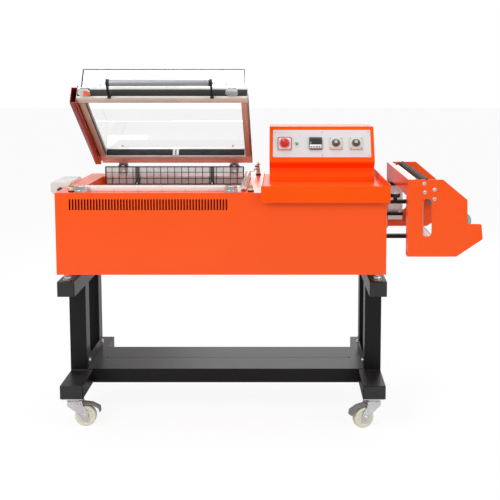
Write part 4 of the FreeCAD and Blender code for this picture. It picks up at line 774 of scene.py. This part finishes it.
def makeJaws(values):
    print("jaws")
    low, high = corners("front_jaw")
    side, sideHigh = corners("right_jaw")
    strips = Shape()
    middle = low.y + 20
    half = values["tape"] / 2
    # release tape over the raised strips, and phenolic bars along both edges of the front jaw
    strips.box("tapeBrown", (low.x + 2, middle - half + 2, high.z), (high.x - 2, middle + half - 2,
               high.z + values["tapeThick"]), 0)
    strips.box("whitePaint", (low.x, low.y - 1.5, low.z + 0.5), (high.x, low.y, high.z - 3.5), 0.4)
    strips.box("phenolic", (low.x, middle + 8, high.z - 4), (high.x, low.y + 39, high.z - 2.2), 0.4)
    for n in range(7):
        x = low.x + 24 + n * (high.x - low.x - 48) / 6
        strips.screw((x, low.y + 6.5, high.z - 3), "z", 2.8, "zinc")
        strips.screw((x, low.y - 1.5, low.z + 5.2), (0, -1, 0), 2.6, "zinc")
    across = (side.x + sideHigh.x) / 2
    strips.box("tapeBrown", (across - 5, side.y + 2, sideHigh.z), (across + 5, sideHigh.y - 2,
               sideHigh.z + values["tapeThick"]), 0)
    strips.box("greyFoam", (side.x, side.y + 1, sideHigh.z - 3), (side.x + 3.4, sideHigh.y - 1,
               sideHigh.z - 1.4), 0.4)
    strips.box("phenolic", (sideHigh.x - 3.6, side.y + 1, sideHigh.z - 3), (sideHigh.x, sideHigh.y - 1,
               sideHigh.z - 1.4), 0.4)
    for n in range(5):
        y = side.y + 30 + n * (sideHigh.y - side.y - 60) / 4
        strips.screw((sideHigh.x, y, side.z + 5), "x", 2.6, "zinc")
    strips.screw((across, side.y, side.z + 6), (0, -1, 0), 4, "brass")
    strips.finish("jawStrips", "base")

    wire = Shape()
    top, gap = corners("seal_wire")[1].z, 0.1    # room under the shut pads
    wire.box("chrome", (low.x + 4, middle - 1.1, top - 0.5),
             (side.x + 14, middle + 1.1, top - gap), 0)
    wire.box("chrome", (across - 1.1, middle - 6, top - 0.5), (across + 1.1, sideHigh.y - 4, top - gap), 0)
    wire.tube("chrome", [(low.x + 4, middle, top - 1.6), (low.x - 6, middle - 4, top - 2.6),
                         (low.x - 26, -266, 857), (low.x - 36, -270, 858)], values["wire"], 8)
    wire.tube("chrome", [(across, sideHigh.y - 4, top - 1.6), (across + 2, sideHigh.y + 6, top - 2),
                         (across + 20, 236, 857), (across + 36, 244, 872)], values["wire"], 8)
    wire.finish("sealWire", "base", ["seal_wire"])


postValues = {"places": ((-638, -271, 26), (-14, 245, 48), (-26, -267, 22)), "floor": 842}


def makePosts(values):
    print("terminal posts")
    posts = Shape()
    floor = values["floor"]
    for x, y, tall in values["places"]:
        top = floor + tall
        posts.hexagon("blackPlastic", (x, y, floor), "z", 20, 5)
        posts.rod("insulator", (x, y, floor + 5), "z", 9, 2.6, 0.8)
        posts.lathe("tapeBrown", (x, y, floor + 7.6), "z", [(0, 0), (8, 0), (8, 1.2), (0, 1.2)], 24)
        if tall > 40:
            posts.lathe("insulator", (x, y, floor + 8.8), "z", [(0, 0), (7.5, 0), (7.5, 6), (6, 7.5),
                        (7.5, 9), (7.5, 14), (6, 15.5), (7, 17), (7, 22), (0, 22)], 24)
        else:
            posts.lathe("insulator", (x, y, floor + 8.8), "z",
                        [(0, 0), (7.5, 0), (7, tall - 18), (0, tall - 18)], 24)
        posts.rod("brass", (x, y, top - 9), "z", 3, 11.5, 0.4, 16)
        posts.ring("brass", (x, y, top - 8), "z", 3, 7.4, 5.4, 0.6, 24)
        for n in range(12):
            turn = n * math.pi / 6
            posts.rod("brass", (x + 7.3 * math.cos(turn), y + 7.3 * math.sin(turn), top - 7.6), "z",
                      0.8, 4.6, 0.3, 6)
    x, y, tall = values["places"][0]
    posts.rod("brass", (x + 2, y - 2, floor + 12), (-1, -0.1, 0), 3, 16, 0.5, 16)
    x, y, tall = values["places"][1]
    posts.tube("sleeve", [(x - 3, y - 8, floor + 22), (x - 8, y - 20, floor + 26),
                          (x - 16, y - 26, floor + 24)], 3.4, 12)
    posts.box("phenolic", (x - 14, y - 2, floor + 30), (x + 4, y + 2, floor + 38), 0.6)
    posts.finish("terminalPosts", "base", ["wire_terminals"])


magnetValues = {"places": (-605, -94), "deep": -277.5, "radius": 22}


def makeMagnets(values):
    print("magnets")
    pots = Shape()
    low, high = corners("electromagnets")
    radius, tall = values["radius"], high.z - low.z
    for x in values["places"]:
        spot = (x, values["deep"], low.z)
        pots.lathe("chrome", spot, "z", [
            (0, 0), (radius - 0.8, 0), (radius, 0.8), (radius, 6), (radius - 1, 6.8), (radius, 7.6),
            (radius, tall - 0.8), (radius - 0.8, tall), (17, tall), (17, tall - 1.6), (12, tall - 1.6),
            (12, tall), (4, tall), (4, tall - 3), (0, tall - 3)], 44)
        pots.ring("copper", (x, values["deep"], high.z - 2.4), "z", 12.1, 16.9, 1.2, 0.2, 36)
        pots.hexagon("darkSteel", (x, values["deep"], high.z - 3), "z", 5, 1.5)
    pots.finish("holdingMagnets", "base", ["electromagnets"])
    blocks = Shape()
    for side in (-1, 1):
        x = values["places"][1] + side * 27
        if side > 0:
            blocks.box("whitePlastic", (x - 4, -288, low.z), (x + 8, -270, low.z + 13), 1)
            blocks.screw((x + 2, -279, low.z + 13), "z", 2.6, "brass")
    blocks.finish("magnetBlock", "base")


# ---- hood, drawn shut round its hinge axis

hingeAt = Vector(joints["hood_hinge"]["pos_m"]) / millimetre
hoodTurn = Matrix.Translation(hingeAt) @ Matrix.Rotation(
    math.radians(-joints["hood_hinge"]["range_deg"][1]), 4, "X")
hoodValues = {
    "left": -636.5, "right": -39.5, "innerLeft": -614, "innerRight": -64,
    "front": -555, "frontInner": -520, "rear": -39, "rearInner": -105, "seal": -9.6,
    "low": -4, "ledge": 32, "high": 37,
}


def makeHoodRails(values):
    print("hood rails")
    trim = Shape()
    left, right, front, rear = (values[key] for key in ("left", "right", "front", "rear"))
    inner, rearInner = values["frontInner"], values["rearInner"]
    # black bumper strip with a rounded face in the front rail's channel
    trim.prism("blackRubber", [(front + 2, 1), (front - 1.2, 3), (front - 1.8, 14), (front - 1.2, 25),
               (front + 2, 27)], "x", left + 2, right - left - 4, 0.4)
    for x in (left + 60, right - 60):
        trim.screw((x, front, 32.5), (0, -1, 0), 3.2, "zinc")
        trim.screw((x, front + 14, values["high"]), "z", 3, "zinc")
    # strip and splice plate inside the rear rail
    trim.box("blackRubber", (left + 26, rearInner - 2.4, -4), (right - 28, rearInner, 22), 0.6)
    middle = (left + right) / 2
    trim.box("whitePaint", (middle - 12, rearInner - 4, -4), (middle + 12, rearInner - 2.2, 23), 0.6)
    for z in (2, 9.5, 17):
        trim.screw((middle, rearInner - 4, z), (0, -1, 0), 3.2, "darkSteel")
    trim.box("aluminium", (left + 24, rearInner - 1.2, 24), (right - 26, rearInner, 30), 0.4)
    # grey strip on the left rail's inner side: painted shade, standing for the white rail face in shadow; black
    # gasket lines along the side rails' inner sides
    trim.box("greyFoam", (values["innerLeft"], inner + 2, 4), (values["innerLeft"] + 2.2, rearInner - 3, 18), 0.5)
    trim.box("blackRubber", (values["innerLeft"], inner + 2, -3.6), (values["innerLeft"] + 1.6,
             rearInner - 3, 1), 0.5)
    trim.box("blackRubber", (right, front + 4, -4), (right + 1.6, rear - 2, 12), 0.5)
    for y in (-480, -330, -180):
        trim.screw((right, y, 24), "x", 3.2, "zinc")
    for x in (left + 90, middle, right - 90):
        trim.screw((x, rear, 18), "y", 4, "zinc")
    trim.finish("hoodTrim", "hood", (), hoodTurn)

    rail = Shape()
    inside, outside = values["innerLeft"], values["left"]
    step = outside + 8
    rail.prism("whitePaint", [(inside, values["low"]), (outside, values["low"]),
               (outside, values["high"]), (step, values["high"]), (step, values["ledge"]),
               (inside, values["ledge"])], "y", inner, rearInner - inner, 0.5)
    wall, channel = 2, -658.5
    bottom, top, run = -25, values["high"], (-552, -67)
    # channel walls in dark red: painted shade for orange-red paint in shadow
    for low, high in (((channel, run[0], bottom), (outside, run[1], bottom + wall)),
                      ((channel, run[0], top - wall), (outside, run[1], top)),
                      ((channel, run[0], bottom), (channel + wall, run[1], top)),
                      ((outside - wall, run[0], bottom), (outside, run[1], top))):
        rail.box("orangeRedInShade", low, high, 0.7)
    rail.box("blackRubber", (outside - 3.2, run[0] + 4, top), (outside - 0.6, run[1] - 6, top + 9), 0.7)
    # black plate inside the channel near its front end: painted shade for the dark inside of the channel
    rail.box("blackPaint", (channel + wall, run[0] + 34, bottom + wall), (outside - wall, run[0] + 36,
             top - wall), 0.2)
    for y in (-500, -310, -120):
        rail.screw((channel, y, 6), (-1, 0, 0), 3.4, "zinc")
    rail.finish("leftRail", "hood", ["hood_left_rail"], hoodTurn)


def makePads(values):
    # silicone pads: crowned face downwards, sides tucked in
    print("pads")
    pads = Shape()
    low, high = values["seal"], values["low"]
    left, right = values["left"], values["right"]
    crown = [(0, 1), (0.02, 0.35), (0.14, 0.06), (0.5, 0), (0.86, 0.06), (0.98, 0.35), (1, 1)]

    def section(start, end):
        return [(start + (end - start) * share, low + (high - low) * lift) for share, lift in crown]
    pads.prism("siliconePale", section(values["front"], values["frontInner"]), "x", left, right - left, 0)
    pads.prism("whitePlastic", section(values["rearInner"], values["rearInner"] + 40), "x", left,
               right - left, 0)
    for look, start, end in (("siliconeTan", left + 2, values["innerLeft"]),
                             ("siliconeTan", values["innerRight"], right - 4)):
        pads.prism(look, section(start, end), "y", values["frontInner"],
                   values["rearInner"] - values["frontInner"], 0)
    pads.box("greyFoam", (right - 3.8, values["frontInner"], low + 1), (right - 0.6,
             values["rearInner"], high), 0.5)
    pads.finish("sealPads", "hood", ["seal_pads"], hoodTurn)


handleValues = {"left": -524.5, "right": -160.5, "y": -610, "z": 20, "radius": 11, "arm": 6,
                "outline": [(-555, -11), (-555, -1), (-569, -1), (-596, 29), (-603, 33), (-610, 34),
                            (-618, 31), (-624, 27), (-625, 20), (-624, 13), (-618, 8), (-610, 6),
                            (-573, -11)]}


def makeHandle(values):
    print("handle")
    handle = Shape()
    left, right = values["left"] + values["arm"], values["right"] - values["arm"]
    handle.rod("gripGrey", (left, values["y"], values["z"]), "x", values["radius"], right - left, 0.5, 36)
    for n, x in enumerate((values["left"], right)):
        handle.prism("blackPaint", values["outline"], "x", x, values["arm"], 0.8)
        inside = x + values["arm"] if n == 0 else x - 5
        handle.ring("blackPlastic", (inside, values["y"], values["z"]), "x", 10.8, 12.6, 5, 0.8, 30)
        side = -1 if n == 0 else 1
        outer = x if n == 0 else x + values["arm"]
        handle.rod("zinc", (outer, values["y"], values["z"]), (side, 0, 0), 8, 1.2, 0.3)
        handle.hexagon("zinc", (outer + side * 1.2, values["y"], values["z"]), (side, 0, 0), 11, 4)
        handle.box("blackPaint", (x - 3, -558, -11), (x + 9, -555, 12), 0.8)
        handle.screw((x + 3, -558, 6), (0, -1, 0), 2.6, "blackPaint")
    handle.finish("hoodHandle", "hood", ["handle"], hoodTurn)


discValues = {"places": (-605, -94), "deep": -577.5, "low": -4, "radius": 22, "face": -555}


def makeDiscs(values):
    print("armature discs")
    discs = Shape()
    low, deep, radius, face = values["low"], values["deep"], values["radius"], values["face"]
    for x in values["places"]:
        discs.lathe("chrome", (x, deep, low), "z", [(0, 0), (radius - 1, 0), (radius, 1), (radius, 7.6),
                    (radius - 1.4, 9), (0, 9)], 44)
        discs.lathe("blackRubber", (x, deep, low + 9), "z", [(0, 0), (15, 0), (16, 1), (15.4, 2.4),
                    (13, 4), (0, 4)], 32)
        discs.box("blackPaint", (x - 12, deep - 12, low + 13), (x + 12, face, low + 16), 0.6)
        discs.box("blackPaint", (x - 12, face - 3, low + 14), (x + 12, face, 30), 0.6)
        discs.rod("zinc", (x, deep, low + 16), "z", 10, 1.4, 0.3)
        discs.hexagon("zinc", (x, deep, low + 17.4), "z", 13, 5)
        discs.rod("zinc", (x, deep, low + 22), "z", 3.6, 3, 0.5, 14)
        discs.screw((x, face - 3, 22), (0, -1, 0), 3, "zinc")
    discs.finish("armatureDiscs", "hood", ["armature_discs"], hoodTurn)


def makeDomeFixings(values):
    # screws and white washers through the dome's skirt, front and rear
    print("dome fixings")
    fixings = Shape()
    for x in (-560, -116):
        for y, aim in ((-544, (0, -1, 0)), (-58, (0, 0.95, 0.3))):
            spot = Vector((x, y, 52 if y < -500 else 62))
            aim = Vector(aim).normalized()
            fixings.rod("whitePlastic", spot, aim, 5, 1, 0.3, 20)
            fixings.screw(spot + aim, aim, 3.4, "zinc")
    fixings.finish("domeFixings", "hood", (), hoodTurn)


def makeHingeDetails():
    print("hinges")
    details = Shape()
    for x in (-560, -112):
        for side in (-1, 1):
            spot = Vector((x + side * 18, hingeAt.y, hingeAt.z))
            details.ring("zinc", spot, (side, 0, 0), 4, 8.5, 1.2, 0.3, 24)
            details.hexagon("zinc", spot + Vector((side * 0.6, 0, 0)), (side, 0, 0), 10, 3)
        for y in (276,):
            for shift in (-9, 9):
                details.screw((x + shift, y, 848), "z", 3.4, "darkSteel")
    details.finish("hingeFixings", "base")
    leaves = Shape()
    for x in (-560, -112):
        for shift in (-13, 13):
            for z in (4, 26):
                leaves.hexagon("zinc", (x + shift, -35, z), "y", 8, 3)
    leaves.finish("leafFixings", "hood", (), hoodTurn)


# ---- control box, drawn upright in the plane of its leaning face

panelValues = {
    "foot": 921, "lean": math.degrees(math.atan2(70, 124)), "middle": 229, "high": 71.2,
    "width": 365, "tall": 112.4, "level": 70, "plate": 1.5,
    "switch": 90, "lamp": 134.8, "controller": 205.5, "timers": {"left": 281.2, "right": 356.1},
    "size": 48,
}
panelTurn = Matrix.Translation((0, 0, panelValues["foot"])) @ Matrix.Rotation(
    math.radians(-panelValues["lean"]), 4, "X")
outward = (0, -1, 0)


def makePanelFixings(values):
    print("panel")
    fixings = Shape()
    across, up = values["width"] / 2 - 8, values["tall"] / 2 - 8
    for x in (-across, 0, across):
        for z in (-up, up):
            spot = (values["middle"] + x, -values["plate"], values["high"] + z)
            fixings.ring("panelSilver", spot, outward, 0.4, 4.6, 0.5, 0.2, 20)
            fixings.screw(spot, outward, 3.4, "zinc")
    fixings.finish("panelScrews", "base", (), panelTurn)


def frameOutline(x, size, radius, level):
    return rounded(size, size, radius, 5, (x, level))


def makeInstruments(values):
    # escutcheon of the main switch and the two timer fronts
    print("instruments")
    fronts = Shape()
    level, plate = values["level"], -values["plate"]
    x, size = values["switch"], values["size"] + 8
    fronts.prism("whitePlastic", frameOutline(x, size, 5, level), "y", plate - 4.6, 4.6, 0.8)
    rim = bmesh.new()
    outer = [rim.verts.new((a, plate - 5.1, b)) for a, b in frameOutline(x, size - 3, 6, level)]
    inner = [rim.verts.new((a, plate - 5.1, b)) for a, b in frameOutline(x, size - 9, 9, level)]
    for ring in (outer, inner):
        for pair in zip(ring, ring[1:] + ring[:1]):
            rim.edges.new(pair)
    bmesh.ops.bridge_loops(rim, edges=rim.edges[:])
    pushed = bmesh.ops.extrude_face_region(rim, geom=rim.faces[:])["geom"]
    bmesh.ops.translate(rim, verts=[v for v in pushed if isinstance(v, bmesh.types.BMVert)],
                        vec=(0, 0.9, 0))
    bmesh.ops.recalc_face_normals(rim, faces=rim.faces)
    fronts.take(rim, "darkRedInk")
    fronts.ring("darkRedInk", (x, plate - 4.4, level), outward, 3.3, 20.5, 0.9, 0.2, 44)
    fronts.ring("whitePlastic", (x, plate - 4.6, level), outward, 3.2, 19.2, 1.1, 0.2, 44)
    for side in (-1, 1):
        for end in (-1, 1):
            fronts.screw((x + side * 21.5, plate - 4.6, level + end * 21.5), outward, 2.2, "zinc")
    for x in values["timers"].values():
        size = values["size"]
        fronts.prism("beigePlastic", frameOutline(x, size, 3, level), "y", plate - 5.6, 5.6, 1)
        fronts.prism("beigePlastic", frameOutline(x, size - 9, 3, level), "y", plate - 6.3, 0.9, 0.3)
        for side in (-1, 1):
            for end in (-1, 1):
                fronts.screw((x + side * 20, plate - 5.6, level + end * 20), outward, 2, "darkSteel")
        # scale marks round the dial, every tenth one longer
        for n in range(31):
            turn = math.radians(-135 + n * 9)
            long = 2.6 if n % 5 == 0 else 1.5
            mark = Matrix.Translation((x, plate - 6.3, level)) @ Matrix.Rotation(turn, 4, "Y")
            fronts.box("dialGrey", (-0.22, -0.12, 16.4), (0.22, 0.2, 16.4 + long), 0, mark)
    fronts.finish("instrumentFronts", "base", ["timer_housings"], panelTurn)

    controller = Shape()
    x, half = values["controller"], values["size"] / 2
    face = plate - 7.6
    controller.prism("blackPlastic", frameOutline(x, values["size"], 2.5, level), "y", face, 7.6, 0.7)
    controller.box("displayGlass", (x - half + 3, face - 0.5, level - 5), (x + half - 3, face + 0.4,
                   level + half - 3), 0.3)
    controller.box("whitePlastic", (x - half + 2, face - 0.4, level - half + 2), (x + half - 2,
                   face + 0.4, level - 6.5), 0.3)
    for n in range(4):
        left = x - half + 5 + n * 10
        controller.box("dialGrey", (left, face - 1.1, level - half + 5), (left + 7, face, level - half + 10), 0.5)
    controller.finish("controllerFront", "base", ["temperature_controller"], panelTurn)

    lamp = Shape()
    spot = (values["lamp"], plate, level)
    lamp.lathe("chrome", spot, outward, [(5.2, 0), (7.4, 0), (7.4, 1.4), (6.6, 2.2), (5.2, 2.2)], 32)
    lamp.lathe("greenLens", spot, outward, [(0, 0), (5.6, 0), (5.6, 3.5), (5.2, 5.6), (4, 7.2),
               (2.2, 8.1), (0, 8.4)], 32)
    lamp.finish("powerLamp", "base", ["power_lamp"], panelTurn)


knobValues = {"grips": 18, "skirt": 17.6, "deep": 9, "bar": (9, 34, 11), "barTurn": -42,
              "dial": 14.8, "boss": 8.2}


def makeKnobs(values, panel):
    print("knobs")
    plate, level = -panel["plate"], panel["level"]
    knob = Shape()
    x = panel["switch"]
    knob.rod("zinc", (x, plate - 1.2, level), outward, 2.95, 5.4, 0.2)
    knob.lathe("redPlastic", (x, plate - 6.4, level), outward, [(0, 0), (17, 0), (17.6, 0.6),
               (17.2, 3), (15.5, 7.6), (14.5, 8.4), (0, 8.6)], 48)
    turned = Matrix.Translation((x, 0, level)) @ Matrix.Rotation(math.radians(values["barTurn"]), 4, "Y")
    wide, long, tall = values["bar"]
    knob.prism("redPlastic", [(-wide / 2, -long / 2 + 3), (0, -long / 2), (wide / 2, -long / 2 + 3),
               (wide / 2 - 1, long / 2 - 2), (0, long / 2), (-wide / 2 + 1, long / 2 - 2)], "y",
               plate - 6 - 8.6 - tall + 0.6, tall, 1.2, turned)
    knob.box("whitePlastic", (-0.7, plate - 6.4 - 8.6 - tall + 0.8, 4), (0.7, plate - 6 - 8.6 - tall + 1.2,
             long / 2 - 4), 0, turned)
    knob.finish("mainSwitchKnob", "main_switch", ["main_switch_knob"], panelTurn)
    for side, x in panel["timers"].items():
        dial = Shape()
        dial.rod("zinc", (x, plate - 1.2, level), outward, 2.95, 6.4, 0.2)
        dial.lathe("dialGrey", (x, plate - 7.4, level), outward, [(0, 0), (14.6, 0), (15, 0.4),
                   (15, 2.6), (13.4, 4.6), (9, 5), (8.4, 5.4), (8, 10.6), (7, 11.6), (0, 11.8)], 48)
        dial.lathe("dialLight", (x, plate - 19, level), outward, [(0, 0), (6.6, 0), (6.3, 0.5), (0, 0.7)], 32)
        for n in range(20):
            spot = Matrix.Translation((x, 0, level)) @ Matrix.Rotation(n * math.pi / 10, 4, "Y")
            dial.box("dialGrey", (-0.6, plate - 18.4, 7.6), (0.6, plate - 12.8, 8.9), 0.2, spot)
        dial.box("whitePlastic", (x - 0.6, plate - 12.55, level + 8.8), (x + 0.6, plate - 11.4, level + 13.6), 0)
        dial.finish(side + "TimerDial", side + "_timer", [side + "_timer_knob"], panelTurn)


# ---- film unit

unitValues = {"left": 504.5, "high": 889, "screws": ((54, 14), (89, 34), (56, 43), (89, 66)),
              "front": -315, "back": 305, "wall": 2.5}


def makeFilmUnit(values):
    print("film unit")
    fixings = Shape()
    left, high = values["left"], values["high"]
    for y, side in ((values["front"], -1), (values["back"], 1)):
        for across, drop in values["screws"]:
            fixings.ring("zinc", (left + across, y, high - drop), (0, side, 0), 0.5, 6.4, 0.8, 0.2, 20)
            fixings.screw((left + across, y + side * 0.8, high - drop), (0, side, 0), 4.6, "zinc")
    # rubber edging round the shaft slots
    for y, side in ((values["front"], -1), (values["back"], 1)):
        path = []
        for n in range(25):
            turn = math.pi * 2 * n / 24
            middle = high - 79.5 if math.sin(turn) >= 0 else high - 179.5
            path.append((left + 65 + 16.2 * math.cos(turn), y + side * 0.6, middle + 16.2 * math.sin(turn)))
        fixings.tube("orangePaint", path, 1.3, 8)
    # painted buttons over the shaft ends
    for joint in ("outer_roller_spin", "inner_roller_spin"):
        spot = Vector(joints[joint]["pos_m"]) / millimetre
        for y, side in ((values["front"], -1), (values["back"], 1)):
            fixings.rod("orangePaint", (spot.x, y, spot.z), (0, side, 0), 8, 1, 0.4, 28)
    fixings.finish("unitFixings", "base")

    for name, body, joint, radius, look, slot in (
            ("outer", "outer_film_roller", "outer_roller_spin", 30, "tealRubber", "teal_coating"),
            ("inner", "inner_film_roller", "inner_roller_spin", 23, "aluminium", "aluminium")):
        roller = Shape()
        spot = Vector(joints[joint]["pos_m"]) / millimetre
        start, end = values["front"] + values["wall"] + 1, values["back"] - values["wall"] - 1
        roller.lathe(look, (spot.x, start + 3, spot.z), "y", [
            (0, 0), (radius - 1.4, 0), (radius, 1.4), (radius, end - start - 7.4),
            (radius - 1.4, end - start - 6), (0, end - start - 6)], 56)
        for y in (start, end - 3):
            roller.ring(look, (spot.x, y, spot.z), "y", 6.2, radius - 3, 3, 0.6, 36)
        roller.rod("chrome", (spot.x, values["front"], spot.z), "y", 5.95,
                   values["back"] - values["front"], 0.4, 24)
        roller.finish(name + "FilmRoller", body, [name + "_roller"])

    low, high = corners("guide_rods")
    guides = Shape()
    guides.rod("chrome", (left + 36, low.y, values["high"] - 12), "y", 6, high.y - low.y, 0.4, 32)
    guides.rod("blackRubber", (left + 62, low.y + 8, values["high"] - 8), "y", 11, high.y - low.y - 16, 1, 36)
    guides.rod("chrome", (left + 62, low.y, values["high"] - 8), "y", 5, high.y - low.y, 0.4, 20)
    for y in (low.y + 40, high.y - 40):
        guides.ring("blackPlastic", (left + 36, y, values["high"] - 12), "y", 5.9, 10, 12, 1, 28)
    guides.finish("guideRods", "base", ["guide_rods"])

    clamp = Shape()
    x, y = (value / millimetre for value in joints["clamp_turn"]["pos_m"][:2])
    base = corners("clamp_knob")[0].z
    clamp.rod("blackPlastic", (x, y, base), "z", 6.9, 9, 0.6)
    grip = bmesh.new()
    outline = [(x + radius * math.cos(turn), y + radius * math.sin(turn)) for turn, radius in
               [(math.pi * 2 * n / 72, 15.2 + 1.8 * math.cos(6 * math.pi * 2 * n / 72)) for n in range(72)]]
    face = grip.faces.new([grip.verts.new((a, b, base + 8)) for a, b in outline])
    pushed = bmesh.ops.extrude_face_region(grip, geom=[face])["geom"]
    bmesh.ops.translate(grip, verts=[v for v in pushed if isinstance(v, bmesh.types.BMVert)], vec=(0, 0, 13))
    bmesh.ops.recalc_face_normals(grip, faces=grip.faces)
    caps = [edge for edge in grip.edges if abs(edge.verts[0].co.z - edge.verts[1].co.z) < 0.01]
    bmesh.ops.bevel(grip, geom=caps, offset=1.6, offset_type="OFFSET", segments=3, profile=0.5,
                    affect="EDGES", material=-1, clamp_overlap=True)
    clamp.take(grip, "blackPlastic")
    clamp.rod("zinc", (x, y, base + 20.6), "z", 4, 1.2, 0.4, 20)
    clamp.finish("clampKnob", "film_unit_clamp", ["clamp_knob"])

    rails = Shape()
    low, high = corners("unit_bracket")
    for z in (692, 812):
        for y in (-250, 250):
            rails.hexagon("zinc", (low.x + 42, y, z), "z", 13, 6)
            rails.rod("zinc", (low.x + 42, y, z - 0.2), "z", 10, 1.2, 0.3)
    for z in (686, 806):
        for y, side in ((-288, -1), (276, 1)):
            rails.hexagon("zinc", (low.x + 2, y, z), "x", 11, 5)
    rails.finish("railBolts", "base")


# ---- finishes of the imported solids

nodeLooks = {
    "orangePaint": ("front_panel", "body_wrapper", "top_plate", "near_side_plate", "far_side_plate",
                    "film_unit_panel", "base_plate"),
    "boxPaint": ("packing_tray", "control_box"),
    "blackPaint": ("left_frame", "right_frame", "shelf", "unit_rails"),
    "zinc": ("unit_bracket", "hinge_leaves", "front_left_fork", "front_right_fork", "rear_left_fork",
             "rear_right_fork"),
    "greyPlastic": ("front_left_brake", "front_right_brake"),
    "greyPaint": ("junction_box",),
    "stainless": ("chamber_tub",),
    "whitePaint": ("hood_front_rail", "hood_rear_rail", "hood_right_rail", "front_jaw", "right_jaw"),
    "panelSilver": ("panel_plate",),
    "darkSteel": ("hinge_blocks", "fan_motor", "transformer", "fan_wheel"),
    "clearAcrylic": ("dome",),
}
softened = {"front_panel": 0, "control_box": 1.2, "packing_tray": 0.6, "top_plate": 0.6,
            "near_side_plate": 0.6, "far_side_plate": 0.6, "film_unit_panel": 0.6,
            "left_frame": 2.5, "right_frame": 2.5, "shelf": 0.6, "junction_box": 0.8,
            "hood_front_rail": 0.8, "hood_rear_rail": 0.8, "hood_right_rail": 0.8,
            "front_jaw": 0.5, "right_jaw": 0.5, "hinge_blocks": 0.8, "hinge_leaves": 0.8,
            "front_left_fork": 0.6, "front_right_fork": 0.6, "rear_left_fork": 0.6,
            "rear_right_fork": 0.6, "front_left_brake": 0.8, "front_right_brake": 0.8,
            "unit_rails": 0.6, "unit_bracket": 0.4}


def finishNodes():
    print("node finishes")
    for look, names in nodeLooks.items():
        for name in names:
            slots = nodes[name].material_slots
            for slot in slots:
                slot.material = looks[look]
            if not slots:
                nodes[name].data.materials.append(looks[look])
    for name, width in softened.items():
        if not width:
            continue
        weld = nodes[name].modifiers.new("weld", "WELD")
        weld.merge_threshold = 0.00002
        edge = nodes[name].modifiers.new("edge", "BEVEL")
        edge.width = width * millimetre
        edge.segments = 2
        edge.limit_method = "ANGLE"
        edge.angle_limit = math.radians(40)
        edge.use_clamp_overlap = True
        edge.harden_normals = False


makeLooks()
makeCamera(cameraValues)
makeLamps(lampValues)
makeWorld()
makeFloor()
makeStand(standValues)
makeCasters(casterValues)
makeLouvres(louvreValues)
makeBodyDetails(bodyValues)
makeChamber(meshValues)
makeGrille(grilleValues)
makeJaws(jawValues)
makePosts(postValues)
makeMagnets(magnetValues)
makeHoodRails(hoodValues)
makePads(hoodValues)
makeHandle(handleValues)
makeDiscs(discValues)
makeDomeFixings(hoodValues)
makeHingeDetails()
makePanelFixings(panelValues)
makeInstruments(panelValues)
makeKnobs(knobValues, panelValues)
makeFilmUnit(unitValues)
finishNodes()

bpy.context.view_layer.update()
